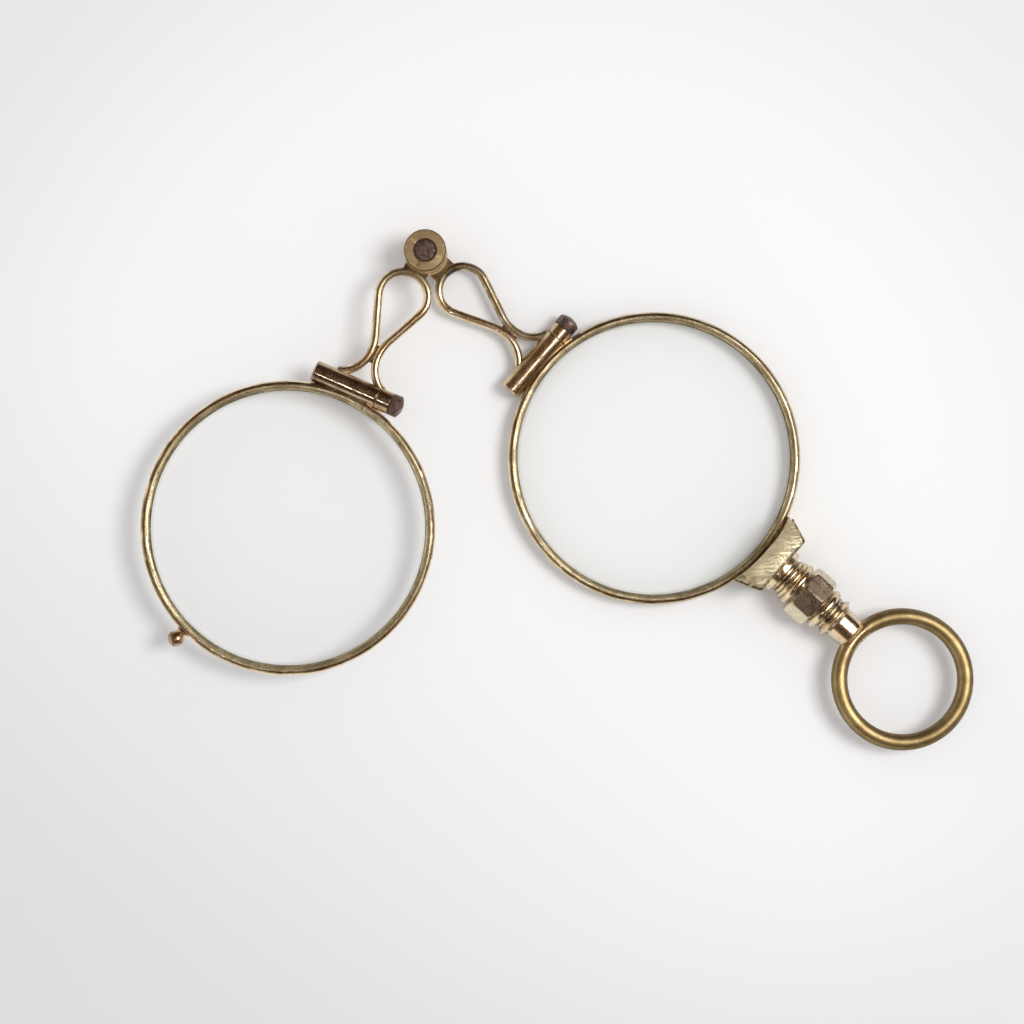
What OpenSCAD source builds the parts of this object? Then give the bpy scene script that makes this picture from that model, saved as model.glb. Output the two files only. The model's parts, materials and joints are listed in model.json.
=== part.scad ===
// Folding lorgnette: two round lenses on a sprung hub, a catch block, a turned stem and a finger ring.
// Millimetres. The origin is on the hub axis, on the plane that the hub stands on.
// +X runs from the hub through the fixed lens and the stem to the finger ring, and +Z is the hub axis.
// The swinging arm is drawn open, turned clockwise from the fixed arm.

/* [Rims and lenses] */
// Outer radius of a rim
rim_r = 19; // [17:0.5:21]
// Width of the rim wire across the lens plane
rim_w = 1.3; // [1.2:0.05:1.5]
// Height of the rim wire along the hub axis
rim_h = 2; // [1.8:0.1:2.4]
// Gap where a rim is split
rim_split = 0.15; // [0.08:0.01:0.25]
// Depth of the glass in the rim's groove
lens_seat = 0.45; // [0.25:0.05:0.55]
// Thickness of the glass at its edge
lens_edge = 0.9; // [0.7:0.05:1.1]
// Rise of each face of the glass from its edge to its middle
lens_rise = 0.25; // [0.1:0.05:0.35]
// Clearance around the glass in its groove
lens_gap = 0.03; // [0.02:0.01:0.05]

/* [Hub and arms] */
// Angle between the two arms when open
open_angle = 74.5; // [60:0.5:90]
// Distance between the planes of the two lenses
level_gap = 3.2; // [3.1:0.1:3.6]
// Distance from the hub axis to the axis of a closing tube
tube_reach = 19.85; // [19.5:0.05:23]
// Radius of the hub barrel
hub_r = 2.7; // [2.6:0.05:2.9]
// Height of the hub barrel and of the catch block
hub_h = 7.4; // [7.4:0.1:8]
// Gap between the two knuckles
knuckle_gap = 0.1; // [0.06:0.02:0.16]
// Thickness of the barrel wall
hub_wall = 0.8; // [0.7:0.05:0.8]
// Thickness of the floor of each knuckle
hub_floor = 1.25; // [1.1:0.05:1.4]
// Radius of the rivet's shank
rivet_r = 0.9; // [0.7:0.05:1]
// Radius of the rivet's flush ends
rivet_head_r = 1.35; // [1.25:0.05:1.37]
// Thickness of the rivet's ends
rivet_head_t = 0.6; // [0.4:0.05:0.7]
// How far the rivet's upper end lies below the hub's upper face
rivet_sink = 0.12; // [0.05:0.01:0.2]
// Bevel of the hub's outer edges
hub_bevel = 0.15; // [0.05:0.05:0.25]
// Running clearance of the rivet
run_gap = 0.03; // [0.02:0.01:0.05]
// Angular width of the stop tooth
tooth_angle = 30; // [20:1:45]
// Height of the stop tooth above the joint of the knuckles
tooth_h = 0.8; // [0.6:0.05:1]
// Radial thickness of the stop tooth
tooth_t = 0.4; // [0.3:0.05:0.4]
// Play of the stop tooth at each end of its travel, in degrees
stop_play = 0.6; // [0.4:0.1:1]
// Clearance around the stop tooth
tooth_gap = 0.05; // [0.04:0.01:0.08]

/* [Hub spring] */
// Radius of the spring wire
spring_wire_r = 0.13; // [0.1:0.01:0.15]
// Radius of the coil at the middle of its wire
spring_r = 1.56; // [1.54:0.01:1.6]
// Whole turns of the coil
spring_turns = 5; // [3:1:7]
// Clearance of the spring from floors and slots
spring_gap = 0.04; // [0.03:0.01:0.08]
// Outer reach of the slot that holds a spring end, from the hub axis
spring_slot_reach = 2.3; // [2:0.1:2.4]

/* [Closing tubes] */
// Radius of the closing tubes and of the screw head
tube_r = 1.43; // [1.3:0.01:1.45]
// How far a closing tube reaches in over its rim
tube_bite = 0.48; // [0.3:0.02:0.6]
// Reach of the long tube past the arm's line
long_tube_reach = 6.05; // [5.5:0.05:6.5]
// Bevel of the long tube's open end
tube_bevel = 0.2; // [0.1:0.05:0.3]
// Reach of the short tube past the arm's line
short_tube_reach = 4.68; // [4.4:0.02:5.2]
// Place of the seam between the tubes on the swinging arm, past the arm's line
left_seam = 2.75; // [2.2:0.05:3.4]
// Place of that seam on the fixed arm
right_seam = 3.1; // [2.2:0.05:3.4]
// Width of the seam
tube_seam = 0.12; // [0.08:0.02:0.2]
// Length of the screw head
screw_head_l = 1.7; // [1.2:0.05:2]
// Rise of the screw head's domed end
screw_dome = 0.5; // [0.3:0.05:0.6]
// Radius of the screw's shank
screw_r = 0.5; // [0.4:0.05:0.6]
// Length of the screw in the long tube
screw_grip = 4; // [3:0.5:6]
// Clearance of the screw in the tubes
screw_gap = 0.03; // [0.02:0.01:0.05]
// Width of the screwdriver slot
slot_w = 0.4; // [0.3:0.05:0.5]
// Depth of the screwdriver slot
slot_d = 0.6; // [0.4:0.05:0.7]
// Turn of the screwdriver slot about the screw, from upright, in degrees
slot_turn = 62; // [0:1:90]
// Turn of the closing tubes about the swinging lens, in degrees
left_tilt = 3; // [0:0.5:4]
// Turn of the closing tubes about the fixed lens, in degrees
right_tilt = 1; // [0:0.5:4]
// Gap that solder fills between parts
solder_gap = 0.03; // [0.02:0.01:0.05]

/* [Wire loops] */
// Radius of the loop wire
wire_r = 0.54; // [0.45:0.01:0.6]
// Radius of the round end of a loop, as a share of the loop's length
loop_round = 0.207; // [0.19:0.001:0.215]
// Radius of the long bend into the neck, as a share of the loop's length
neck_bend = 0.42; // [0.38:0.01:0.45]
// Gap between the two wires at the neck
neck_gap = 0.04; // [0.02:0.01:0.1]
// Length of the flare from the neck to the tube, as a share of the loop's length
flare_share = 0.252; // [0.24:0.001:0.27]
// Sideways reach of a flared end
flare_reach = 2.75; // [1.8:0.05:3]
// Sideways reach of the flared end next to the fixed arm's open tube end
short_flare_reach = 2; // [1.8:0.05:3]
// How far a wire end sinks into the tube's side
flare_bite = 0.3; // [0.2:0.01:0.4]
// Gap between the hub and the swinging arm's loop
left_loop_gap = 0.03; // [0.02:0.01:0.1]
// Gap between the hub and the fixed arm's loop
right_loop_gap = 0.34; // [0.1:0.02:0.4]
// Sideways shift of the fixed arm's loop
right_loop_shift = -0.35; // [-0.5:0.05:0]
// Width of the lug that joins a loop to its knuckle
lug_w = 3.2; // [2:0.1:3.4]
// Height of that lug
lug_h = 0.9; // [0.7:0.05:1]

/* [Catch] */
// Width of the catch block at its horns
block_w_in = 11.2; // [10:0.1:12]
// Width of the catch block at the stem
block_w_out = 8.5; // [8:0.1:9.8]
// Sideways shift of the catch block off the arm's line
block_shift = 0.55; // [0:0.05:0.6]
// Depth of the catch block behind the rim's far point
block_depth = 2.5; // [2.2:0.1:3]
// How far its horns reach back around the rim
block_wrap = 1.2; // [0.8:0.1:1.4]
// Radius of its outer corners
block_corner_r = 0.5; // [0.4:0.05:0.8]
// Clearance of the swinging rim in the recess
swing_gap = 0.25; // [0.15:0.05:0.3]
// How far the top lip reaches over the folded rim
lip_reach = 0.4; // [0.2:0.05:0.5]
// Thickness of the leaf spring
leaf_t = 0.25; // [0.2:0.05:0.3]
// Height of the leaf spring
leaf_h = 1.6; // [1.2:0.1:1.8]
// Chord of the leaf spring
leaf_chord = 4; // [3:0.2:5]
// Rise of the leaf spring's bow
leaf_rise = 0.6; // [0.5:0.05:0.7]
// Clearance of the leaf spring from the swinging rim and its slot
leaf_gap = 0.08; // [0.05:0.01:0.1]
// Radius of the thumb knob's ball
knob_r = 1.05; // [0.9:0.05:1.15]
// Distance of the ball's middle from the rim
knob_reach = 1.3; // [1.2:0.05:1.5]
// Radius of the knob's neck
knob_neck_r = 0.6; // [0.4:0.05:0.7]
// Place of the knob round the rim from the arm's line, in degrees
knob_angle = 19; // [19:0.5:24]

/* [Stem] */
// Sideways shift of the stem and the finger ring off the arm's line
stem_shift = 0.15; // [0:0.05:0.3]
// Radius of the rod through the stem
core_r = 1; // [0.8:0.05:1.2]
// Depth of the rod in the catch block
core_grip = 1; // [0.6:0.1:1.1]
// Clearance of the stem pieces on the rod
core_gap = 0.02; // [0.01:0.01:0.04]
// Radius of the collar's flange
flange_r = 3.05; // [2.7:0.05:3.2]
// Thickness of the collar's flange
flange_t = 0.9; // [0.5:0.05:1]
// Number of reeds on the collar
reeds = 3; // [2:1:4]
// Width of a reed
reed_w = 0.57; // [0.5:0.01:0.7]
// Radius of the first reed
reed_r = 2.42; // [2.4:0.01:2.6]
// Growth of the radius from reed to reed
reed_step = 0.2; // [0:0.02:0.22]
// Radius of the collar's bead
bead_r = 3.1; // [2.9:0.05:3.3]
// Width of the collar's bead
bead_w = 0.95; // [0.8:0.05:1.2]
// Radius of the necks between turned forms
stem_neck_r = 2.2; // [2:0.05:2.25]
// Width of the necks beside the knop
stem_neck_w = 0.24; // [0.1:0.02:0.3]
// Radius of the knop across its corners
knop_r = 3.67; // [3.5:0.01:3.68]
// Length of the knop
knop_l = 3.25; // [2.8:0.05:3.6]
// Radius of the turned edges of the knop
knop_edge_r = 0.6; // [0.3:0.05:0.8]
// Turn of the knop's corners about the stem, in degrees
knop_turn = 5; // [0:1:15]
// Radius of the shoulder bead
shoulder_r = 2.95; // [2.8:0.05:3.1]
// Width of the shoulder bead
shoulder_w = 1.15; // [1:0.05:1.4]
// Radius of the small ring behind the shoulder
small_ring_r = 2.45; // [2.35:0.05:2.6]
// Width of the small ring
small_ring_w = 0.55; // [0.4:0.05:0.7]
// Radius of the thin flange
thin_flange_r = 2.88; // [2.7:0.02:3.1]
// Thickness of the thin flange at its edge
thin_flange_t = 0.15; // [0.1:0.05:0.3]
// Length of the slope up to the thin flange's edge
thin_flange_slope = 0.6; // [0.4:0.05:0.8]
// Radius of the ferrule's foot at the thin flange
ferrule_foot_r = 2.7; // [2.4:0.05:2.8]
// Length of the slope from the foot to the ferrule's barrel
ferrule_foot_l = 0.55; // [0.3:0.05:0.8]
// Radius of the ferrule's barrel at the foot
ferrule_r_in = 2.16; // [1.9:0.02:2.3]
// Radius of the ferrule's barrel at the ring
ferrule_r_out = 2.1; // [1.8:0.02:2.2]
// Length of the ferrule
ferrule_l = 3.05; // [2.8:0.05:4]
// Mean radius of the finger ring
ring_r = 8.16; // [7:0.02:10]
// Radius of the finger ring's wire
ring_wire_r = 1.07; // [0.95:0.01:1.1]
// How far the ring sits in the ferrule's end
ring_bite = 0.5; // [0.2:0.05:0.6]
// Width of the joint in the finger ring
ring_joint = 0.08; // [0.05:0.01:0.15]

/* [Hidden] */
$fn = 96;
// Overrun of a cut past the face it opens
past = 0.5;
// Play of the leaf spring's slot above and below the leaf
slot_play = 0.1;
// Half the gap between two lengths of a loop's wire, and the sleeve that joins them
joint_half = 0.03;
joint_sleeve = 0.2;
joint_rise = 0.01;
// How far the knop's turned form stands over its corners
knop_crown = 0.06;

mid_z = hub_h / 2;
lower_z = mid_z - level_gap / 2;
upper_z = mid_z + level_gap / 2;

// Closing tubes: the axis runs along Y, off the lens centre by tube_axis_r
tube_axis_r = rim_r + tube_r - tube_bite;
lens_reach = tube_reach + tube_axis_r;
head_y = short_tube_reach;

// Rim section: two half rounds of the wire's width, joined by straight sides
rim_mid_r = rim_r - rim_w / 2;
rim_round_z = (rim_h - rim_w) / 2;
lens_r = rim_r - rim_w + lens_seat;
lens_face_r = (lens_r * lens_r + lens_rise * lens_rise) / (2 * lens_rise);
lens_bands = 6;

// Hub barrel
knuckle_h = mid_z - knuckle_gap / 2;
cavity_r = hub_r - hub_wall;
tooth_r_in = cavity_r + tooth_gap;
tooth_r_out = tooth_r_in + tooth_t;
// Direction of the stop tooth, away from both arms
tooth_from = 165;

// Hub spring: a leg in the lower floor, the coil, and a leg in the upper floor
spring_sides = 8;
spring_step = 24;
spring_bottom = hub_floor + spring_wire_r + spring_gap;
spring_top = hub_h - spring_bottom;
spring_sweep = 360 * spring_turns - open_angle;
spring_steps = ceil(spring_sweep / spring_step);
spring_leg = spring_bottom - 2 * spring_wire_r;
spring_slot_w = 2 * (spring_wire_r + spring_gap);

// Catch block, measured from the rim's far point
far_x = lens_reach + rim_r;
block_x = far_x + block_depth;
horn_x = far_x - block_wrap;
recess_r = far_x + swing_gap;
lip_r = far_x - lip_reach;
recess_bottom = upper_z - rim_h / 2 - swing_gap;
recess_top = upper_z + rim_h / 2 + swing_gap;
leaf_x = far_x + leaf_gap;
leaf_bend_r = (leaf_chord * leaf_chord / 4 + leaf_rise * leaf_rise) / (2 * leaf_rise);
leaf_back_x = leaf_x + leaf_rise + leaf_t;

// Stem, station by station from the catch block
collar_l = flange_t + reeds * reed_w + bead_w + stem_neck_w;
knop_x = block_x + collar_l;
shoulder_x = knop_x + knop_l;
shoulder_l = stem_neck_w + shoulder_w + small_ring_w + thin_flange_slope + thin_flange_t;
ferrule_x = shoulder_x + shoulder_l;
ring_x = ferrule_x + ferrule_l - ring_bite + ring_r + ring_wire_r;
core_end = ferrule_l / 2;

gold = [0.80, 0.62, 0.36];
pale_gold = [0.84, 0.78, 0.60];
olive_gold = [0.62, 0.52, 0.26];
dark_steel = [0.32, 0.25, 0.22];
spring_steel = [0.45, 0.45, 0.48];
glass = [0.90, 0.95, 0.93, 0.35];

// Placing

// The fixed arm lies along X at the lower level
module on_right_arm() {
    translate([0, 0, lower_z]) children();
}

// The swinging arm is open by open_angle at the upper level
module on_left_arm() {
    rotate([0, 0, -open_angle]) translate([0, 0, upper_z]) children();
}

// The origin here is where the closing tubes' axis crosses the arm's line, and Y runs along the tubes
module closing_frame(tilt) {
    translate([lens_reach, 0, 0]) rotate([0, 0, tilt])
        translate([-tube_axis_r, tube_axis_r * tan(tilt), 0]) children();
}

// A rod along Y
module rod_y(y, l, r) {
    translate([0, y, 0]) rotate([-90, 0, 0]) cylinder(h = l, r = r);
}

// A form turned about the stem's axis: children draw its half section with the axis along Y
module turned(x) {
    translate([x, stem_shift, mid_z]) rotate([0, 90, 0]) rotate_extrude() children();
}

// Rims and lenses

module rim_section(grow = 0) {
    for (z = [-rim_round_z, rim_round_z])
        translate([rim_mid_r, z]) circle(r = rim_w / 2 + grow);
    translate([rim_mid_r, 0]) square([rim_w + 2 * grow, 2 * rim_round_z], center = true);
}

module rim_band(grow = 0) {
    translate([lens_reach, 0, 0]) rotate_extrude() rim_section(grow);
}

module rim(tilt, seam) {
    difference() {
        translate([lens_reach, 0, 0]) rotate_extrude() difference() {
            rim_section();
            square([2 * (lens_r + lens_gap), lens_edge + 2 * lens_gap], center = true);
        }
        closing_frame(tilt) translate([0, seam + tube_seam / 2 - rim_split / 2, -rim_h])
            cube([tube_axis_r - rim_r + 2 * rim_w, rim_split, 2 * rim_h]);
    }
}

module lens() {
    // Half of one face, from the edge to the middle
    face = [for (i = [0:lens_bands]) let (x = lens_r * (1 - i / lens_bands)) [
        x, lens_edge / 2 + lens_rise - lens_face_r + sqrt(lens_face_r * lens_face_r - x * x)
    ]];
    translate([lens_reach, 0, 0]) rotate_extrude()
        polygon(concat(face, [for (i = [lens_bands:-1:0]) [face[i][0], -face[i][1]]]));
}

// Closing tubes and screw

module saddled_tube(tilt, bore_y, bore_l) {
    difference() {
        closing_frame(tilt) difference() {
            children();
            rod_y(bore_y, bore_l, screw_r + screw_gap);
        }
        rim_band(solder_gap);
    }
}

module long_tube(tilt, seam) {
    l = seam + long_tube_reach;
    saddled_tube(tilt, -long_tube_reach - past, l + 2 * past) {
        rod_y(tube_bevel - long_tube_reach, l - tube_bevel, tube_r);
        translate([0, -long_tube_reach, 0]) rotate([-90, 0, 0])
            cylinder(h = tube_bevel, r1 = tube_r - tube_bevel, r2 = tube_r);
    }
}

module short_tube(tilt, seam) {
    y = seam + tube_seam;
    saddled_tube(tilt, y - past, head_y - y + 2 * past) rod_y(y, head_y - y, tube_r);
}

module closing_screw(tilt, seam) {
    dome_r = (tube_r * tube_r + screw_dome * screw_dome) / (2 * screw_dome);
    shank_y = seam - screw_grip;
    head_end = head_y + solder_gap + screw_head_l;
    difference() {
        closing_frame(tilt) {
            rod_y(shank_y, head_y + screw_head_l / 2 - shank_y, screw_r);
            difference() {
                intersection() {
                    rod_y(head_y + solder_gap, screw_head_l, tube_r);
                    translate([0, head_end - dome_r, 0]) sphere(r = dome_r);
                }
                rotate([0, slot_turn, 0]) translate([-slot_w / 2, head_end - slot_d, -2 * tube_r])
                    cube([slot_w, 2 * slot_d, 4 * tube_r]);
            }
        }
        rim_band(solder_gap);
    }
}

// Wire loops

// Bend of the loop wire in the XY plane about a centre, from one direction to another.
// It stops short of both ends, inside the sleeves that join it on.
module wire_bend(centre, r, from, to) {
    short = joint_half / r * 180 / PI;
    translate([centre[0], centre[1], 0]) rotate([0, 0, from + short])
        rotate_extrude(angle = to - from - 2 * short) translate([r, 0]) circle(r = wire_r, $fn = 48);
}

// Straight wire from a point along a direction, short of both ends in the same way
module wire_straight(point, direction, l) {
    translate([point[0], point[1], 0]) rotate([0, 0, direction]) rotate([0, 90, 0])
        translate([0, 0, joint_half]) cylinder(h = l - 2 * joint_half, r = wire_r, $fn = 48);
}

// Sleeve that joins two lengths of wire, hardly above its surface
module wire_joint(point, direction) {
    translate([point[0], point[1], 0]) rotate([0, 0, direction]) rotate([0, 90, 0])
        cylinder(h = joint_sleeve, r = wire_r + joint_rise, center = true, $fn = 48);
}

// Loop of length l from its hub side at x = 0: a round end, straight sides, a neck and two flared ends
// that reach sideways by the two values of reach. The straight side is the inner tangent of the
// round end and the neck bend.
module loop_wire(l, reach) {
    round_r = loop_round * l;
    bend_r = neck_bend * l;
    flare_l = flare_share * l;
    neck_x = l - flare_l;
    neck_y = wire_r + neck_gap / 2;
    dx = neck_x - round_r;
    dy = neck_y + bend_r;
    apart = sqrt(dx * dx + dy * dy);
    touch = atan2(dy, dx) + acos((round_r + bend_r) / apart);
    side_l = sqrt(apart * apart - pow(round_r + bend_r, 2));
    round_end = [round_r + round_r * cos(touch), round_r * sin(touch)];
    side_end = [neck_x - bend_r * cos(touch), dy - bend_r * sin(touch)];
    wire_bend([round_r, 0], round_r, touch, 360 - touch);
    for (side = [0, 1]) mirror([0, side, 0]) {
        flare_turn = 2 * atan2(reach[side], flare_l);
        flare_r = flare_l / sin(flare_turn);
        wire_joint(round_end, touch - 90);
        wire_straight(round_end, touch - 90, side_l);
        wire_joint(side_end, touch - 90);
        wire_bend([neck_x, dy], bend_r, touch + 180, 270);
        wire_joint([neck_x, neck_y], 0);
        wire_bend([neck_x, neck_y + flare_r], flare_r, 270, 270 + flare_turn);
    }
}

function loop_start(gap) = hub_r + gap + wire_r;
function loop_l(gap) = tube_reach - tube_r + flare_bite - loop_start(gap);

module loop(gap, shift, tilt, reach) {
    difference() {
        translate([loop_start(gap), shift, 0]) loop_wire(loop_l(gap), reach);
        closing_frame(tilt) rod_y(-2 * long_tube_reach, 4 * long_tube_reach, tube_r + solder_gap);
    }
}

// Lug on a knuckle, hollowed to the round end of its loop
module lug(gap, shift) {
    round_r = loop_round * loop_l(gap);
    from = cavity_r + run_gap;
    difference() {
        translate([from, shift / 2 - lug_w / 2, -lug_h / 2]) cube([loop_start(gap) - from, lug_w, lug_h]);
        translate([loop_start(gap) + round_r, shift, 0])
            rotate_extrude() translate([round_r, 0]) circle(r = wire_r + solder_gap, $fn = 48);
    }
}

// Hub

// Ring sector about the hub axis
module sector(r_in, r_out, h, from, angle) {
    rotate([0, 0, from]) rotate_extrude(angle = angle) translate([r_in, 0]) square([r_out - r_in, h]);
}

// Half of the barrel, floor down, with the spring's slot along X and the rivet's end sunk
module knuckle_cup(sink) {
    difference() {
        union() {
            cylinder(h = hub_bevel, r1 = hub_r - hub_bevel, r2 = hub_r);
            translate([0, 0, hub_bevel]) cylinder(h = knuckle_h - hub_bevel, r = hub_r);
        }
        translate([0, 0, hub_floor]) cylinder(h = hub_h, r = cavity_r);
        translate([0, 0, -past]) cylinder(h = hub_h, r = rivet_r + run_gap);
        translate([0, 0, -past])
            cylinder(h = rivet_head_t + sink + run_gap + past, r = rivet_head_r + run_gap);
        translate([0, -spring_slot_w / 2, -past])
            cube([spring_slot_reach, spring_slot_w, hub_floor + 2 * past]);
    }
}

module lower_knuckle() {
    color(gold) {
        knuckle_cup(0);
        translate([0, 0, knuckle_h - tooth_h])
            sector(tooth_r_in, tooth_r_out, knuckle_gap + 2 * tooth_h, tooth_from, tooth_angle);
        on_right_arm() lug(right_loop_gap, right_loop_shift);
    }
}

module upper_knuckle() {
    recess_from = tooth_from - stop_play;
    recess_angle = tooth_angle + open_angle + 2 * stop_play;
    color(gold) {
        rotate([0, 0, -open_angle]) difference() {
            translate([0, 0, hub_h]) mirror([0, 0, 1]) knuckle_cup(rivet_sink);
            translate([0, 0, mid_z - past]) sector(
                cavity_r - 2 * tooth_gap, tooth_r_out + tooth_gap,
                past + knuckle_gap / 2 + tooth_h + tooth_gap, recess_from, recess_angle
            );
        }
        on_left_arm() lug(left_loop_gap, 0);
    }
}

module hub_rivet() {
    top = hub_h - rivet_sink;
    color(dark_steel) {
        cylinder(h = top, r = rivet_r);
        for (z = [0, top - rivet_head_t]) translate([0, 0, z]) cylinder(h = rivet_head_t, r = rivet_head_r);
    }
}

// Path of the spring as [angle, height]: up the lower leg, round the coil, up the upper leg
spring_path = concat(
    [[0, spring_bottom - spring_leg], [0, spring_bottom - spring_leg / 2]],
    [for (i = [0:spring_steps]) [
        spring_sweep * i / spring_steps,
        spring_bottom + (spring_top - spring_bottom) * i / spring_steps
    ]],
    [[spring_sweep, spring_top + spring_leg / 2], [spring_sweep, spring_top + spring_leg]]
);

function on_coil(p) = [spring_r * cos(p[0]), spring_r * sin(p[0]), p[1]];
function unit(v) = v / norm(v);
function heading(i, last) = unit(on_coil(spring_path[min(i + 1, last)]) - on_coil(spring_path[max(i - 1, 0)]));

module hub_spring() {
    last = len(spring_path) - 1;
    points = [for (i = [0:last]) let (
        p = spring_path[i],
        out = [cos(p[0]), sin(p[0]), 0],
        across = cross(heading(i, last), out)
    ) for (k = [0:spring_sides - 1]) let (a = 360 * k / spring_sides)
        on_coil(p) + spring_wire_r * (cos(a) * out + sin(a) * across)];
    walls = [for (i = [0:last - 1], k = [0:spring_sides - 1]) let (
        a = i * spring_sides + k,
        b = i * spring_sides + (k + 1) % spring_sides
    ) each [[a, b, b + spring_sides], [a, b + spring_sides, a + spring_sides]]];
    ends = [
        [for (k = [spring_sides - 1:-1:0]) k],
        [for (k = [0:spring_sides - 1]) last * spring_sides + k]
    ];
    color(spring_steel) polyhedron(points, concat(walls, ends));
}

// Fixed arm

module right_rim() {
    color(gold) on_right_arm() rim(right_tilt, right_seam);
}

module right_lens() {
    color(glass) on_right_arm() lens();
}

module right_long_tube() {
    color(gold) on_right_arm() long_tube(right_tilt, right_seam);
}

module right_short_tube() {
    color(gold) on_right_arm() short_tube(right_tilt, right_seam);
}

module right_closing_screw() {
    color(dark_steel) on_right_arm() closing_screw(right_tilt, right_seam);
}

module right_loop() {
    color(gold) on_right_arm() loop(
        right_loop_gap, right_loop_shift, right_tilt, [flare_reach, short_flare_reach]
    );
}

// Swinging arm

module left_rim() {
    color(gold) on_left_arm() rim(left_tilt, left_seam);
}

module left_lens() {
    color(glass) on_left_arm() lens();
}

module left_long_tube() {
    color(gold) on_left_arm() long_tube(left_tilt, left_seam);
}

module left_short_tube() {
    color(gold) on_left_arm() short_tube(left_tilt, left_seam);
}

module left_closing_screw() {
    color(dark_steel) on_left_arm() closing_screw(left_tilt, left_seam);
}

module left_loop() {
    color(gold) on_left_arm() loop(left_loop_gap, 0, left_tilt, [flare_reach, flare_reach]);
}

module thumb_knob() {
    neck_x = rim_r + solder_gap;
    color(gold) on_left_arm() translate([lens_reach, 0, 0]) rotate([0, 0, -knob_angle]) {
        translate([neck_x, 0, 0]) rotate([0, 90, 0])
            cylinder(h = knob_reach - solder_gap, r = knob_neck_r, $fn = 48);
        translate([rim_r + knob_reach, 0, 0]) sphere(r = knob_r);
    }
}

// Catch

// Outline with straight slanted ends and round corners on the stem side
module block_outline() {
    slant = atan2((block_w_in - block_w_out) / 2, block_x - horn_x);
    // Middle of the corner's round, a corner radius inside the slanted end and the stem side
    corner_y = block_w_out / 2 - block_corner_r / cos(slant) + block_corner_r * tan(slant);
    corner = [for (i = [0:6]) let (a = (90 - slant) * i / 6) [
        block_x - block_corner_r + block_corner_r * cos(a),
        corner_y + block_corner_r * sin(a)
    ]];
    half = concat(corner, [[horn_x, block_w_in / 2]]);
    polygon(concat(half, [for (i = [len(half) - 1:-1:0]) [half[i][0], -half[i][1]]]));
}

module catch_block() {
    color(pale_gold) difference() {
        linear_extrude(hub_h) translate([0, block_shift]) block_outline();
        // Seat of the fixed rim
        translate([lens_reach, 0, -past]) cylinder(h = recess_bottom + past, r = rim_r + solder_gap, $fn = 192);
        // Way of the swinging rim, and the edge of the lip above it
        translate([0, 0, recess_bottom - solder_gap])
            cylinder(h = recess_top - recess_bottom + solder_gap, r = recess_r, $fn = 360);
        translate([0, 0, recess_top - solder_gap]) {
            intersection() {
                cylinder(h = hub_h, r = lip_r, $fn = 360);
                cube([2 * lip_r, lip_r, hub_h]);
            }
            translate([lens_reach, 0, 0]) cylinder(h = hub_h, r = lip_r - lens_reach, $fn = 192);
        }
        // Slot of the leaf spring
        translate([horn_x, -leaf_chord / 2 - leaf_gap, upper_z - leaf_h / 2 - slot_play])
            cube([leaf_back_x + leaf_gap - horn_x, leaf_chord + 2 * leaf_gap, leaf_h + 2 * slot_play]);
        // Bore of the stem's rod
        translate([block_x - core_grip - core_gap, stem_shift, mid_z]) rotate([0, 90, 0])
            cylinder(h = core_grip + past, r = core_r + core_gap);
    }
}

module catch_spring() {
    color(spring_steel) translate([0, 0, upper_z - leaf_h / 2]) linear_extrude(leaf_h) intersection() {
        translate([leaf_x + leaf_bend_r, 0]) difference() {
            circle(r = leaf_bend_r);
            circle(r = leaf_bend_r - leaf_t);
        }
        translate([leaf_x - leaf_t, -leaf_chord / 2]) square([leaf_back_x - leaf_x + leaf_t, leaf_chord]);
    }
}

// Stem

// Half section of a turned round moulding: x along the stem, r its crest, w its width
module round_moulding(x, r, w) {
    translate([r - w / 2, x + w / 2]) circle(r = w / 2, $fn = 48);
    translate([core_r + core_gap, x]) square([r - w / 2 - core_r - core_gap, w]);
}

// Half section of a flat ring
module flat_moulding(x, r, w) {
    translate([core_r + core_gap, x]) square([r - core_r - core_gap, w]);
}

module stem_collar() {
    color(gold) turned(block_x) {
        flat_moulding(0, flange_r, flange_t);
        for (i = [0:reeds - 1]) round_moulding(flange_t + i * reed_w, reed_r + i * reed_step, reed_w);
        round_moulding(flange_t + reeds * reed_w, bead_r, bead_w);
        flat_moulding(flange_t + reeds * reed_w + bead_w, stem_neck_r, stem_neck_w);
    }
}

module octagonal_knop() {
    // The turned form stands a little over the corners, so that only its round edges trim them
    r = knop_r + knop_crown;
    color(gold) intersection() {
        turned(knop_x) {
            flat_moulding(0, r - knop_edge_r, knop_l);
            flat_moulding(knop_edge_r, r, knop_l - 2 * knop_edge_r);
            for (x = [knop_edge_r, knop_l - knop_edge_r])
                translate([r - knop_edge_r, x]) circle(r = knop_edge_r, $fn = 48);
        }
        translate([knop_x - past, stem_shift, mid_z]) rotate([-knop_turn, 0, 0]) rotate([0, 90, 0])
            cylinder(h = knop_l + 2 * past, r = knop_r, $fn = 8);
    }
}

module stem_shoulder() {
    bore_r = core_r + core_gap;
    ring_y = stem_neck_w + shoulder_w;
    flange_y = ring_y + small_ring_w;
    color(gold) turned(shoulder_x) {
        flat_moulding(0, stem_neck_r, flange_y);
        round_moulding(stem_neck_w, shoulder_r, shoulder_w);
        round_moulding(ring_y, small_ring_r, small_ring_w);
        polygon([
            [bore_r, flange_y], [stem_neck_r, flange_y], [thin_flange_r, flange_y + thin_flange_slope],
            [thin_flange_r, shoulder_l], [bore_r, shoulder_l]
        ]);
    }
}

module finger_ring_band(grow = 0) {
    translate([ring_x, stem_shift, mid_z]) rotate_extrude() translate([ring_r, 0])
        circle(r = ring_wire_r + grow, $fn = 48);
}

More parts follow.
